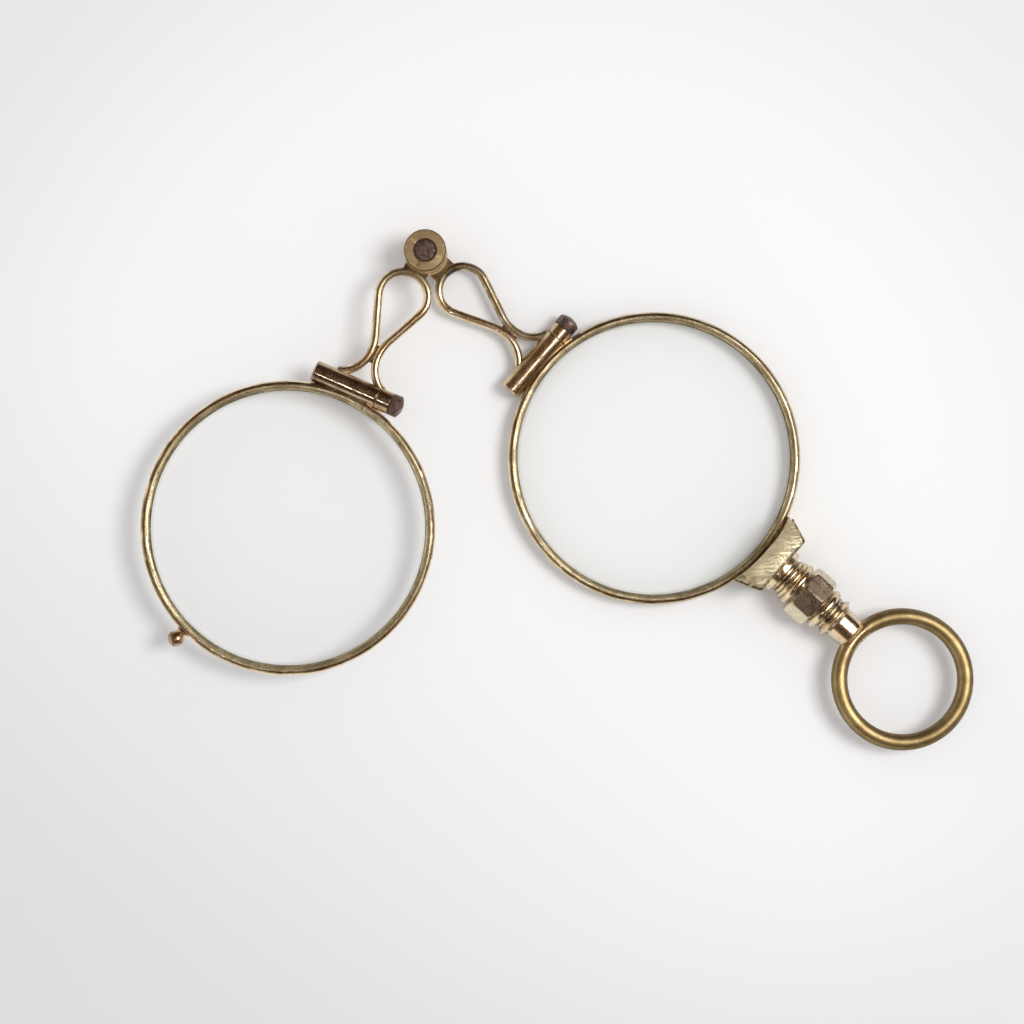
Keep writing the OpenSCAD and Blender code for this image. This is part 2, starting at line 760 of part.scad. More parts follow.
module ring_ferrule() {
    bore_r = core_r + core_gap;
    color(gold) difference() {
        turned(ferrule_x) polygon([
            [0, core_end + core_gap], [bore_r, core_end + core_gap], [bore_r, 0],
            [ferrule_foot_r, 0], [ferrule_r_in, ferrule_foot_l], [ferrule_r_out, ferrule_l], [0, ferrule_l]
        ]);
        finger_ring_band(solder_gap);
    }
}

module stem_core() {
    from = block_x - core_grip;
    color(spring_steel) translate([from, stem_shift, mid_z]) rotate([0, 90, 0])
        cylinder(h = ferrule_x + core_end - from, r = core_r);
}

module finger_ring() {
    color(olive_gold) difference() {
        finger_ring_band();
        translate([ring_x - ring_r - 2 * ring_wire_r, stem_shift - ring_joint / 2, mid_z - 2 * ring_wire_r])
            cube([4 * ring_wire_r, ring_joint, 4 * ring_wire_r]);
    }
}

lower_knuckle();
upper_knuckle();
hub_rivet();
hub_spring();
right_rim();
right_lens();
right_long_tube();
right_short_tube();
right_closing_screw();
right_loop();
left_rim();
left_lens();
left_long_tube();
left_short_tube();
left_closing_screw();
left_loop();
thumb_knob();
catch_block();
catch_spring();
stem_collar();
octagonal_knop();
stem_shoulder();
ring_ferrule();
stem_core();
finger_ring();
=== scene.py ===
"""Looks of the folding lorgnette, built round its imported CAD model.

The fixed arm lies along X and the folding arm is turned clockwise from it. Sizes are in metres, in the CAD
frame. Each piece that stands for a CAD node has its place in its mesh, and its object stays at the origin.
"""

import json
import math
from collections import namedtuple

import bmesh
import bpy
import numpy as np
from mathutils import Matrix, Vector

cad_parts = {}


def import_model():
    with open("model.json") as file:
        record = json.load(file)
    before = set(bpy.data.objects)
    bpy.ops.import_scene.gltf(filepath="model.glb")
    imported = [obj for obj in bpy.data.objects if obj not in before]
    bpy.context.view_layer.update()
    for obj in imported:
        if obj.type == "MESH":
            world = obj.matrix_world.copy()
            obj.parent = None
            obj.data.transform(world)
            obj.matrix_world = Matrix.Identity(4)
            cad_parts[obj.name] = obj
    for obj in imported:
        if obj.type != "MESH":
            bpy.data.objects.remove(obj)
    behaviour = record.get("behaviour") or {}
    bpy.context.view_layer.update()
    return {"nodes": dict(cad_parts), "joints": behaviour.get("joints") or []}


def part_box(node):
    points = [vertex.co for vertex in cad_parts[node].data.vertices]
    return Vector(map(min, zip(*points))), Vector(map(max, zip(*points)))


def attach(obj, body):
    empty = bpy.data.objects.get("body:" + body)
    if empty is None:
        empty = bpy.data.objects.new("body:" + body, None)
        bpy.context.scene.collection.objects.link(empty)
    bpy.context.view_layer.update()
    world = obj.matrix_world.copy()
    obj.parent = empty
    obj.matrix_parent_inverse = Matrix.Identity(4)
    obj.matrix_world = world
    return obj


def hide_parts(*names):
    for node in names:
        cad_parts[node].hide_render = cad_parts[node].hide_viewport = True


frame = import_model()

MM = 0.001

# Sizes that the pieces share with the CAD model

def middle(node):
    """The place of a CAD node's middle along X."""
    low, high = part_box(node)
    return (low.x + high.x) / 2


def half_width(node):
    """Half of a CAD node's size along X."""
    low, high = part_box(node)
    return (high.x - low.x) / 2


OPEN_ANGLE = math.radians(frame["joints"][0]["range_deg"][1])
HUB_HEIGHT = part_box("upper_knuckle")[1].z
MID_HEIGHT = HUB_HEIGHT / 2
LEVEL_GAP = 3.2 * MM
LENS_REACH = middle("right_lens")
RIM_RADIUS = half_width("right_rim")
RIM_WIDTH = 1.3 * MM
RIM_HALF_STRAIGHT = 0.35 * MM
RIM_SPLIT = 0.15 * MM
LENS_RADIUS = half_width("right_lens")
LENS_EDGE = 0.9 * MM
LENS_RISE = 0.25 * MM
GROOVE_PLAY = 0.03 * MM

TUBE_RADIUS = 1.43 * MM
TUBE_BITE = 0.48 * MM
TUBE_BORE = 0.53 * MM
BORE_END = 0.02 * MM
TUBE_SEAM = 0.12 * MM
OPEN_BEVEL = 0.2 * MM
SEAM_BEVEL = 0.05 * MM
HEAD_BEVEL = 0.08 * MM
OPEN_BORE_DEPTH = 2.2 * MM
SEAM_BORE_DEPTH = 0.3 * MM
LONG_TUBE_REACH = 6.05 * MM
SHORT_TUBE_REACH = 4.68 * MM
TUBE_AXIS_RADIUS = RIM_RADIUS + TUBE_RADIUS - TUBE_BITE

WIRE_RADIUS = 0.54 * MM
NECK_GAP = 0.04 * MM
HUB_RADIUS = 2.7 * MM
FLARE_BITE = 0.3 * MM

# Shares of a loop's length
ROUND_SHARE = 0.207
BEND_SHARE = 0.42
FLARE_SHARE = 0.252

KNOB_RADIUS = 1.05 * MM
KNOB_REACH = 1.3 * MM
KNOB_NECK = 0.6 * MM
KNOB_ANGLE = math.radians(19)

STEM_SHIFT = 0.15 * MM
STEM_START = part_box("stem_collar")[0].x
KNOP_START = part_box("octagonal_knop")[0].x
SHOULDER_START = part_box("stem_shoulder")[0].x
FERRULE_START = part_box("ring_ferrule")[0].x
CORE_RADIUS = 1.0 * MM
NECK_RADIUS = 2.2 * MM
NECK_WIDTH = 0.24 * MM
RING_WIRE = (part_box("finger_ring")[1].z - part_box("finger_ring")[0].z) / 2
RING_RADIUS = half_width("finger_ring") - RING_WIRE
RING_CENTRE = middle("finger_ring")
RING_JOINT = 0.08 * MM
STEM_AXIS = (0, STEM_SHIFT, MID_HEIGHT)

# An arm's turn about the hub, the level of its lens, the tilt of its closing tubes and the place of their
# seam, its loop's gap to the hub and shift aside, and how far aside the loop's two ends reach
Arm = namedtuple("Arm", "side body turn level tilt seam loop_gap loop_shift reach")
RIGHT = Arm(
    side="right", body="handle_side", turn=0.0, level=MID_HEIGHT - LEVEL_GAP / 2,
    tilt=math.radians(1), seam=3.1 * MM, loop_gap=0.34 * MM, loop_shift=-0.35 * MM,
    reach=(2.75 * MM, 2.0 * MM),
)
LEFT = Arm(
    side="left", body="folding_side", turn=-OPEN_ANGLE, level=MID_HEIGHT + LEVEL_GAP / 2,
    tilt=math.radians(3), seam=2.75 * MM, loop_gap=0.03 * MM, loop_shift=0.0,
    reach=(2.75 * MM, 2.75 * MM),
)


# Shapes

def arc(centre, radius, start, end, steps):
    """Points centre + radius (cos a, sin a) for even steps of a from start to end, in radians."""
    a = np.linspace(start, end, steps)
    return np.stack([centre[0] + radius * np.cos(a), centre[1] + radius * np.sin(a)], -1)


def spaced(path, step):
    """The same open path with points a step apart, by linear interpolation of its length."""
    run = np.concatenate([[0], np.cumsum(np.linalg.norm(np.diff(path, axis=0), axis=1))])
    even = np.linspace(0, run[-1], max(2, int(run[-1] / step) + 1))
    return np.stack([np.interp(even, run, path[:, k]) for k in range(path.shape[1])], -1)


def ripple(a, seed, waves, size):
    """Sum of a few cosines of whole wave numbers near waves, with seeded phases: a small hand-made wobble."""
    terms = 6
    rng = np.random.default_rng(seed)
    counts = np.round(waves * rng.uniform(0.5, 1.6, terms))
    phases = rng.uniform(0, 2 * math.pi, terms)
    heights = rng.uniform(0.4, 1, terms)
    cosines = heights[:, None] * np.cos(counts[:, None] * a.ravel() + phases[:, None])
    return size / 3 * cosines.sum(0).reshape(a.shape)


def linked(name, data):
    """A new object in the scene, at the origin."""
    made = bpy.data.objects.new(name, data)
    bpy.context.scene.collection.objects.link(made)
    return made


def skin(name, grid, sharp=35):
    """Mesh over a grid of points: rows follow the path, each row is a closed section, and a flat face closes
    each end. Faces point outwards, and edges sharper than the given degrees shade sharp."""
    rows, around = grid.shape[:2]
    index = np.arange(rows * around).reshape(rows, around)
    here, there = index[:-1], index[1:]
    quads = np.stack([here, np.roll(here, -1, 1), np.roll(there, -1, 1), there], -1)
    faces = [*quads.reshape(-1, 4).tolist(), index[0, ::-1].tolist(), index[-1].tolist()]
    mesh = bpy.data.meshes.new(name)
    mesh.from_pydata(grid.reshape(-1, 3).tolist(), [], faces)
    shell = bmesh.new()
    shell.from_mesh(mesh)
    if shell.calc_volume(signed=True) < 0:
        bmesh.ops.reverse_faces(shell, faces=shell.faces[:])
    shell.to_mesh(mesh)
    shell.free()
    mesh.shade_smooth()
    mesh.set_sharp_from_angle(angle=math.radians(sharp))
    return linked(name, mesh)


def swept(path, section):
    """Grid of a section carried along a flat path: section's first value points to the right of the way
    ahead, its second along Z, and a section per path point may be given."""
    way = np.gradient(path, axis=0)
    way /= np.linalg.norm(way, axis=1, keepdims=True)
    right = np.stack([way[:, 1], -way[:, 0]], -1)
    section = np.broadcast_to(section, (len(path), *section.shape[-2:]))
    flat = path[:, None, :] + right[:, None, :] * section[..., :1]
    return np.concatenate([flat, section[..., 1:]], -1)


def turned(profile, steps=144, wobble=None):
    """Grid of a profile of (place along X, radius) turned about the X axis; wobble(angle) is added to the
    radius."""
    a = np.linspace(0, 2 * math.pi, steps, endpoint=False)
    r = profile[:, 1, None] * np.ones(steps) + (0 if wobble is None else wobble(a))
    along = profile[:, 0, None] * np.ones(steps)
    return np.stack([along, r * np.cos(a), r * np.sin(a)], -1)


def moved(grid, turn=0.0, shift=(0, 0, 0)):
    """The grid turned about Z and then moved."""
    c, s = math.cos(turn), math.sin(turn)
    x, y = grid[..., 0], grid[..., 1]
    return np.stack([c * x - s * y, s * x + c * y, grid[..., 2]], -1) + np.array(shift)


def on_arm(arm, grid):
    """From an arm's own frame, with X along the arm and Z from its lens plane, to the CAD frame."""
    return moved(grid, arm.turn, (0, 0, arm.level))


def round_section(radius, steps=32):
    """A circle as a closed section."""
    return arc((0, 0), radius, 0, 2 * math.pi, steps + 1)[:-1]


def soft_corner(profile, radius, steps):
    """The profile with each inner point replaced by a curve that starts and ends up to radius from it: the
    quadratic curve p (1-t)^2 + 2 point t (1-t) + q t^2, where p and q lie on the two lines that meet at the
    point."""
    most = 0.45
    t = np.linspace(0, 1, steps + 1)[:, None]
    out = [profile[:1]]
    for before, here, after in zip(profile[:-2], profile[1:-1], profile[2:]):
        ends = []
        for line in (before - here, after - here):
            length = np.linalg.norm(line)
            ends.append(here + line / length * min(radius, length * most))
        out.append((1 - t) ** 2 * ends[0] + 2 * t * (1 - t) * here + t * t * ends[1])
    return np.concatenate([*out, profile[-1:]])


def dressed(piece, finish, body, slot_name, *nodes):
    """Gives the piece its finish and its body, and hides the CAD nodes that it stands for; slot_name is not
    used.
    """
    piece.data.materials.clear()
    piece.data.materials.append(FINISHES[finish])
    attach(piece, body)
    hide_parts(*nodes)


def softened(name, node, width):
    """A merged copy of a CAD node, with its flats joined and its edges sharper than 28 degrees worn round by
    a bevel."""
    piece = linked(name, frame["nodes"][node].data.copy())
    shell = bmesh.new()
    shell.from_mesh(piece.data)
    flat = math.radians(0.5)
    bmesh.ops.remove_doubles(shell, verts=shell.verts[:], dist=1e-7)
    bmesh.ops.dissolve_limit(shell, angle_limit=flat, verts=shell.verts[:], edges=shell.edges[:])
    shell.to_mesh(piece.data)
    shell.free()
    piece.data.shade_smooth()
    wear = piece.modifiers.new("worn edges", "BEVEL")
    wear.width = width
    wear.segments = 3
    wear.limit_method = "ANGLE"
    wear.angle_limit = math.radians(28)
    wear.harden_normals = True
    return piece


# Shader tools

class Socket:
    """A shader socket that takes part in sums: each operator adds the Math node that it stands for."""

    def __init__(self, finish, source):
        self.finish = finish
        self.source = source

    def math(self, operation, *others):
        return self.finish.node("ShaderNodeMath", {"operation": operation}, dict(enumerate((self, *others))))

    def __add__(self, other):
        return self.math("ADD", other)

    def __sub__(self, other):
        return self.math("SUBTRACT", other)

    def __rsub__(self, other):
        return (self * -1.0) + other

    def __mul__(self, other):
        return self.math("MULTIPLY", other)

    def __pow__(self, other):
        return self.math("POWER", other)

    __radd__ = __add__
    __rmul__ = __mul__

    def hypot(self, other):
        """The root of the sum of the two squares."""
        return (self * self + other * other) ** 0.5

    def limited(self):
        """The value, but 1 at most."""
        return self.math("MINIMUM", 1.0)

    def angle(self, other):
        """The angle in degrees whose tangent is this value over the other."""
        return self.math("ARCTAN2", other) * (180 / math.pi)

    def between(self, low, high):
        """0 below low, 1 above high, with a smooth rise between; high may be the lower of the two."""
        values = {"Value": self, "From Min": low, "From Max": high}
        return self.finish.node("ShaderNodeMapRange", {"interpolation_type": "SMOOTHSTEP"}, values)

    def near(self, middle, half, soft):
        """1 within half of the middle, falling to 0 over soft."""
        return (self - middle).math("ABSOLUTE").between(half + soft, half)


class Nodes:
    """The nodes of a material or a world."""

    def __init__(self, owner, output):
        self.owner = owner
        owner.use_nodes = True
        self.tree = owner.node_tree
        self.tree.nodes.clear()
        self.output = self.tree.nodes.new(output)

    def node(self, kind, settings=None, values=None, output=0):
        """Adds a node: its settings first, then the values or links of its sockets."""
        made = self.tree.nodes.new(kind)
        for key, value in (settings or {}).items():
            setattr(made, key, value)
        for key, value in (values or {}).items():
            if isinstance(value, Socket):
                self.tree.links.new(value.source, made.inputs[key])
            else:
                made.inputs[key].default_value = value
        return Socket(self, made.outputs[output])

    def rays(self, *kinds):
        """1 for the named kinds of ray, such as Shadow, and 0 for the rest."""
        found = [self.node("ShaderNodeLightPath", output="Is %s Ray" % kind) for kind in kinds]
        return sum(found[1:], found[0]).limited()

    def mix(self, factor, low, high):
        """The colour low where factor is 0 and high where it is 1. The Mix node has its colours on sockets 6
        and 7, and its colour result on socket 2."""
        low, high = ((*c, 1) if isinstance(c, tuple) else c for c in (low, high))
        return self.node("ShaderNodeMix", {"data_type": "RGBA"}, {0: factor, 6: low, 7: high}, output=2)

    def joined(self, shader):
        """The material or world, with the shader at its output."""
        self.tree.links.new(shader.source, self.output.inputs["Surface"])
        return self.owner


class Finish(Nodes):
    """One material made of nodes. Its patterns read Object coordinates in millimetres."""

    def __init__(self, name):
        super().__init__(bpy.data.materials.new(name), "ShaderNodeOutputMaterial")
        self.object = self.node("ShaderNodeTexCoord", output="Object")

    def place(self, turn=0.0, stretch=(1, 1, 1), origin=(0, 0, 0)):
        """Object coordinates in millimetres from an origin, turned about Z, then stretched."""
        at = self.node(
            "ShaderNodeMapping", {"vector_type": "TEXTURE"},
            {"Vector": self.object, "Location": origin, "Rotation": (0, 0, turn), "Scale": (MM, MM, MM)},
        )
        return self.node("ShaderNodeMapping", values={"Vector": at, "Scale": stretch})

    def noise(self, scale, detail=3.0, at=None, roughness=0.55, distortion=0.0):
        """Noise with about scale features to a millimetre."""
        return self.node("ShaderNodeTexNoise", values={
            "Vector": at or self.place(), "Scale": scale, "Detail": detail, "Roughness": roughness,
            "Distortion": distortion,
        })

    def axes(self, turn=0.0, origin=(0, 0, 0)):
        """The three values of the place in millimetres, from an origin and along axes turned about Z."""
        at = self.place(turn, origin=origin)
        return [self.node("ShaderNodeSeparateXYZ", values={"Vector": at}, output=k) for k in range(3)]

    def bump(self, height, distance, strength):
        """A normal from a height of 0 to 1 that stands for distance in metres."""
        values = {"Height": height, "Distance": distance, "Strength": strength}
        return self.node("ShaderNodeBump", values=values)

    def surface(self, **values):
        """The Principled surface, joined to the output; underscores stand for spaces."""
        named = {key.replace("_", " "): value for key, value in values.items()}
        return self.joined(self.node("ShaderNodeBsdfPrincipled", values=named))


# Finishes

PALE_GOLD = (0.93, 0.81, 0.60)
DEEP_GOLD = (0.80, 0.62, 0.36)
# Dark brown of tarnish, also used for painted shade and painted reflection on the rims and the knop.
TARNISH_AND_SHADE = (0.10, 0.055, 0.03)
DARK_BROWN = (0.035, 0.022, 0.015)


def scratches(f, *sets):
    """Fine lines in one direction for each set of (scale, turn, amount): noise, 26 times longer along the
    turned X axis than across it, is cut to a thin ridge at its middle value."""
    found = []
    for scale, turn, amount in sets:
        stretched = f.place(turn, (1 / 26, 1, 1))
        found.append(f.noise(scale, 2.0, stretched).near(0.5, 0.004, 0.02) * amount)
    return sum(found[1:], found[0])


def worn_metal(f, base, deep, darkening, dirt_and_shade_mask, rough=0.12, grain=0.004 * MM, lines=0.0, metallic=1.0):
    """Old gilt brass: two golds in soft clouds, a darker colour where the mask is high (dirt, and painted
    shade and painted reflection where a finish puts them in the mask), and a dented, scratched polish whose
    height may follow the given lines too."""
    cloud = f.noise(0.45, 3.0, distortion=0.4)
    speck = f.noise(5.0, 3.0)
    fine = f.noise(2.0, 2.0)
    marks = scratches(f, (7.0, 0.5, 1.0), (6.0, -0.9, 1.0), (7.0, 1.6, 0.7))
    spots = speck.between(0.66, 0.73)
    gilt = f.mix(cloud.between(0.35, 0.65), base, deep)
    grime_and_shade = (dirt_and_shade_mask + spots * 0.7).limited()
    # The darker colour covers dirt, and also painted shade and painted reflection where a finish's mask holds
    # them.
    colour = f.mix(grime_and_shade * (speck * 0.5 + 0.65), gilt, darkening)
    roughness = fine * 0.08 + (rough - 0.03) + grime_and_shade * 0.25 + marks * 0.15
    height = fine * 0.5 + cloud * 0.7 - spots * 0.8 - marks * 0.3 + speck * 0.1
    return f.surface(
        Base_Color=colour, Metallic=metallic, Roughness=roughness, Normal=f.bump(height + lines, grain, 0.9),
    )


def knob_gold():
    """Copper-pink gilt brass of the thumb knob, with patches of dirt."""
    f = Finish("knob_gold")
    stains = f.noise(1.3, 4.0, f.place(origin=(3 * MM, 0, 0))).between(0.5, 0.65) * 0.8
    return worn_metal(f, (0.72, 0.50, 0.32), (0.50, 0.33, 0.20), TARNISH_AND_SHADE, stains, 0.2)


def stem_gold(name, valley, crest):
    """Gilt brass of the turned stem, with stains: darker where the radius about the stem's axis is less than
    crest, and darkest where it is less than valley."""
    f = Finish(name)
    _, y, z = f.axes(origin=STEM_AXIS)
    valleys = y.hypot(z).between(crest, valley) * f.noise(1.5, 3.0).between(0.3, 0.55)
    stains = f.noise(0.9, 4.0).between(0.62, 0.78) * 0.5
    darkening = valleys * 0.8 + stains
    return worn_metal(f, (0.96, 0.84, 0.64), (0.84, 0.66, 0.42), DARK_BROWN, darkening, 0.09, 0.003 * MM)


def knop_gold():
    """Gilt brass of the knop, its upper flats painted brown for a dark reflection, with tarnish specks and
    clouds in that brown.
    """
    f = Finish("knop_gold")
    _, y, z = f.axes(origin=STEM_AXIS)
    speckle = f.noise(4.5, 4.0, roughness=0.8).between(0.42, 0.64)
    cloud = f.noise(0.8, 3.0).between(0.5, 0.35)
    upper = z.between(2.2, 3.0) * y.near(0.0, 2.0, 0.6)
    # Painted reflection: the upper flats are darkened brown where the dark overhead would show in them, with
    # tarnish specks in it.
    tarnish_and_painted_reflection = (speckle * 0.25 + cloud * 0.25 + 0.62) * upper
    return worn_metal(f, (0.96, 0.86, 0.66), (0.88, 0.76, 0.56), TARNISH_AND_SHADE, tarnish_and_painted_reflection, 0.12, 0.004 * MM)


def lens_distance(f):
    """Distance in millimetres from the axis of the nearer lens."""
    radii = []
    for arm in (RIGHT, LEFT):
        x, y, _ = f.axes(origin=(LENS_REACH * math.cos(arm.turn), LENS_REACH * math.sin(arm.turn), 0))
        radii.append(x.hypot(y))
    return radii[0].math("MINIMUM", radii[1])


def rim_gold():
    """Gilt brass of the rims, bright outside and olive satin beside the glass, with fine streaks round the
    lens. A thin painted shadow lies at the lip, and a broken line of painted dark reflection a little inside
    the outer edge."""
    f = Finish("rim_gold")
    radius = lens_distance(f)
    # Painted shadow: a thin dark line at the lip, beside the glass.
    lip = radius.between(17.84, 17.76) * 0.7
    # Painted reflection: a broken dark line a little inside the outer edge, where the dark overhead would
    # show.
    line = radius.near(18.64, 0.1, 0.12) * f.noise(0.5, 4.0).between(0.3, 0.55) * 0.8
    x, y, _ = f.axes()
    around = f.node("ShaderNodeCombineXYZ", values={0: radius * 7.0, 1: x * 0.3, 2: y * 0.3})
    streaks = f.noise(1.0, 3.0, around)
    inner = radius.between(18.46, 18.28)
    specks = f.noise(5.0, 3.0).between(0.5, 0.66) * inner * 0.5
    stains = f.noise(0.8, 4.0).between(0.62, 0.76) * 0.5 + streaks.between(0.5, 0.6) * (inner * 0.25 + 0.35)
    base = f.mix(inner, (0.96, 0.83, 0.58), (0.86, 0.74, 0.47))
    deep = f.mix(inner, (0.82, 0.65, 0.39), (0.60, 0.50, 0.29))
    return worn_metal(
        f, base, deep, TARNISH_AND_SHADE, stains + lip + line + specks, rough=inner * 0.12 + 0.12, lines=streaks * 3.0,
        metallic=1.0 - inner * 0.2,
    )


def hub_gold():
    """Brass of the hub: olive gold with copper-pink patches and file marks, painted shade round the edge of
    its upper face and round the rivet, and brown plates at the loops."""
    f = Finish("hub_gold")
    x, y, z = f.axes()
    patch = f.noise(0.55, 3.0, f.place(origin=(1.3 * MM, 0.4 * MM, 0)), distortion=0.4).between(0.48, 0.6)
    radius = x.hypot(y)
    top = z.between(HUB_HEIGHT / MM - 0.35, HUB_HEIGHT / MM - 0.1)
    # Painted shade: dark rings at the edge of the upper face and round the sunk rivet head.
    painted_edge_shade = (radius.between(2.5, 2.62) * 0.95 + radius.near(1.42, 0.08, 0.1)) * top
    plates = radius.between(2.78, 3.0) * 0.85
    colour = f.mix(patch, (0.72, 0.58, 0.31), (0.76, 0.54, 0.34))
    stains = f.noise(1.7, 4.0).between(0.6, 0.72) * 0.6
    grime_and_shade = (stains + painted_edge_shade + plates).limited()
    fine = f.noise(3.0, 3.0)
    marks = scratches(f, (5.0, 0.7, 1.0), (6.0, 0.95, 1.0), (6.0, -0.5, 0.6))
    return f.surface(
        Base_Color=f.mix(grime_and_shade, colour, (0.16, 0.085, 0.045)), Metallic=0.9,
        Roughness=fine * 0.2 + 0.25 + grime_and_shade * 0.25 + marks * 0.1,
        Normal=f.bump(fine * 0.6 + f.noise(0.8, 2.0) * 0.6 - marks * 1.8, 0.022 * MM, 0.9),
    )


def tube_gold(name, base, deep):
    """Brass of the closing tubes, more worn and browned than the rims."""
    f = Finish(name)
    stains = f.noise(0.7, 4.0, roughness=0.65).between(0.5, 0.68) * 0.6
    return worn_metal(f, base, deep, (0.12, 0.08, 0.045), stains, 0.09, 0.003 * MM)


def solder_brown():
    """Old solder and grime in the joints: dull reddish brown."""
    f = Finish("solder_brown")
    cloud = f.noise(1.6, 4.0, roughness=0.65)
    return f.surface(
        Base_Color=f.mix(cloud.between(0.4, 0.6), (0.13, 0.07, 0.045), (0.36, 0.25, 0.15)), Metallic=0.85,
        Roughness=cloud * 0.3 + 0.2, Normal=f.bump(cloud + f.noise(4.0, 3.0) * 0.5, 0.02 * MM, 0.9),
    )


def rusty_steel():
    """Steel of the rivet and the screws: grey-violet with rust, pits and brown oil."""
    f = Finish("rusty_steel")
    rust = f.noise(1.1, 5.0, f.place(origin=(0.2 * MM, 0, 0)), roughness=0.7).between(0.42, 0.6)
    pits = f.noise(6.0, 3.0).between(0.56, 0.68)
    steel = f.mix(f.noise(0.9, 3.0), (0.13, 0.10, 0.105), (0.30, 0.25, 0.22))
    colour = f.mix(pits * 0.8, f.mix(rust, steel, (0.13, 0.055, 0.035)), (0.03, 0.02, 0.018))
    return f.surface(
        Base_Color=colour, Metallic=1.0 - rust * 0.7, Roughness=rust * 0.25 + 0.22 + pits * 0.15,
        Normal=f.bump(rust * 0.5 - pits + f.noise(2.0, 3.0), 0.03 * MM, 0.9),
    )


def spring_steel():
    """Blued spring steel with fine draw lines."""
    f = Finish("spring_steel")
    cloud = f.noise(1.4, 3.0)
    colour = f.mix(cloud.between(0.4, 0.65), (0.34, 0.35, 0.38), (0.22, 0.17, 0.12))
    return f.surface(
        Base_Color=colour, Metallic=1.0, Roughness=cloud * 0.25 + 0.2,
        Normal=f.bump(f.noise(8.0, 2.0), 0.004 * MM, 0.7),
    )


def block_gold():
    """Cast brass of the catch block: pale, brushed aslant, with grime and painted shade along the top's edges
    at the stem side and ends. The ends are at an angle: they lean in by 0.365 for each millimetre along X."""
    f = Finish("block_gold")
    x, y, z = f.axes()
    cloud = f.noise(0.6, 4.0, distortion=0.5)
    rough_patch = f.noise(1.5, 3.0)
    lean = (x - 57.6) * 0.365
    stem_side = x.between(60.8, 61.15)
    far_end = (y + lean).between(5.7, 6.0)
    near_end = (lean - y).between(4.65, 4.95)
    # Grime and painted shade along the top's edges at the stem side and both ends, broken up in patches.
    edges = (stem_side + far_end + near_end) * z.between(6.9, 7.2) * rough_patch.between(0.3, 0.5)
    low_end = y.between(-2.4, -4.2) * rough_patch.between(0.4, 0.62)
    marks = scratches(f, (6.0, 0.9, 1.0), (7.0, 0.72, 1.0), (6.0, -0.3, 0.5))
    pits = f.noise(4.5, 3.0).between(0.63, 0.72)
    pale = f.mix(cloud.between(0.35, 0.65), (0.95, 0.86, 0.62), (0.83, 0.71, 0.46))
    grime_and_shade = (edges * 0.8 + low_end * 0.7 + pits * 0.6).limited()
    return f.surface(
        Base_Color=f.mix(grime_and_shade, pale, (0.15, 0.10, 0.05)), Metallic=0.95,
        Roughness=cloud * 0.15 + 0.31 + marks * 0.2 + grime_and_shade * 0.25,
        Normal=f.bump(cloud * 0.3 + f.noise(2.5, 3.0) * 0.2 - marks - pits, 0.022 * MM, 1.0),
    )


def core_brass():
    """Plain drawn brass of the rod in the stem."""
    f = Finish("core_brass")
    cloud = f.noise(1.2, 3.0)
    return f.surface(
        Base_Color=f.mix(cloud, (0.60, 0.43, 0.20), (0.42, 0.28, 0.12)), Metallic=1.0,
        Roughness=cloud * 0.2 + 0.25, Normal=f.bump(f.noise(6.0, 2.0), 0.004 * MM, 0.6),
    )


def ring_brass():
    """Satin olive brass of the finger ring, lighter at its soldered joint, with painted shade browning the
    wire's sides.
    """
    f = Finish("ring_brass")
    x, y, _ = f.axes(origin=(RING_CENTRE - RING_RADIUS, STEM_SHIFT, MID_HEIGHT))
    polished = x.hypot(y).between(3.2, 1.2) * f.noise(1.2, 3.0).between(0.3, 0.5)
    cloud = f.noise(0.5, 4.0, distortion=0.5)
    olive = f.mix(cloud.between(0.35, 0.65), (0.56, 0.43, 0.21), (0.40, 0.30, 0.13))
    specks = f.noise(5.0, 4.0, roughness=0.7).between(0.58, 0.7)
    x, y, _ = f.axes(origin=(RING_CENTRE, STEM_SHIFT, MID_HEIGHT))
    # Painted shade: the wire's sides are darkened towards brown.
    aside = (x.hypot(y) - RING_RADIUS / MM).math("ABSOLUTE")
    worn = f.mix(aside.between(0.5, 0.98) * 0.7, olive, (0.16, 0.10, 0.05))
    colour = f.mix(specks * 0.5, f.mix(polished, worn, DEEP_GOLD), TARNISH_AND_SHADE)
    fine = f.noise(3.5, 3.0)
    return f.surface(
        Base_Color=colour, Metallic=0.95, Roughness=fine * 0.12 + 0.33 - polished * 0.2 + specks * 0.1,
        Normal=f.bump(fine + cloud, 0.008 * MM, 0.8),
    )


def loop_gold(name, arm, dark_side, dark):
    """Gilt wire of a loop, dulled at the hub and on one of its two sides: dark_side is +1 or -1 across the
    arm."""
    f = Finish(name)
    x, y, _ = f.axes(arm.turn, origin=(0, 0, arm.level))
    side = (y - arm.loop_shift / MM).between(-0.25 * dark_side, 0.35 * dark_side)
    hub_end = x.between(5.2, 3.6)
    dulled = side * 0.6 * f.noise(0.9, 3.0).between(0.3, 0.55) + hub_end * 0.8
    return worn_metal(f, PALE_GOLD, DEEP_GOLD, dark, dulled, 0.12, 0.004 * MM)


def lens_glass():
    """Clear old glass with a grey-green edge. Shadow and diffuse rays pass, so the table stays lit under
    it."""
    f = Finish("lens_glass")
    edge = lens_distance(f).between(17.2, 17.75) * 0.6
    glass = f.node("ShaderNodeBsdfPrincipled", values={
        "Base Color": f.mix(edge, (0.995, 0.998, 0.996), (0.62, 0.66, 0.58)), "Roughness": 0.0, "IOR": 1.5,
        "Transmission Weight": 1.0,
    })
    clear = f.node("ShaderNodeBsdfTransparent", values={"Color": (0.99, 0.995, 0.995, 1)})
    passing = f.rays("Shadow", "Diffuse")
    return f.joined(f.node("ShaderNodeMixShader", values={0: passing, 1: glass, 2: clear}))


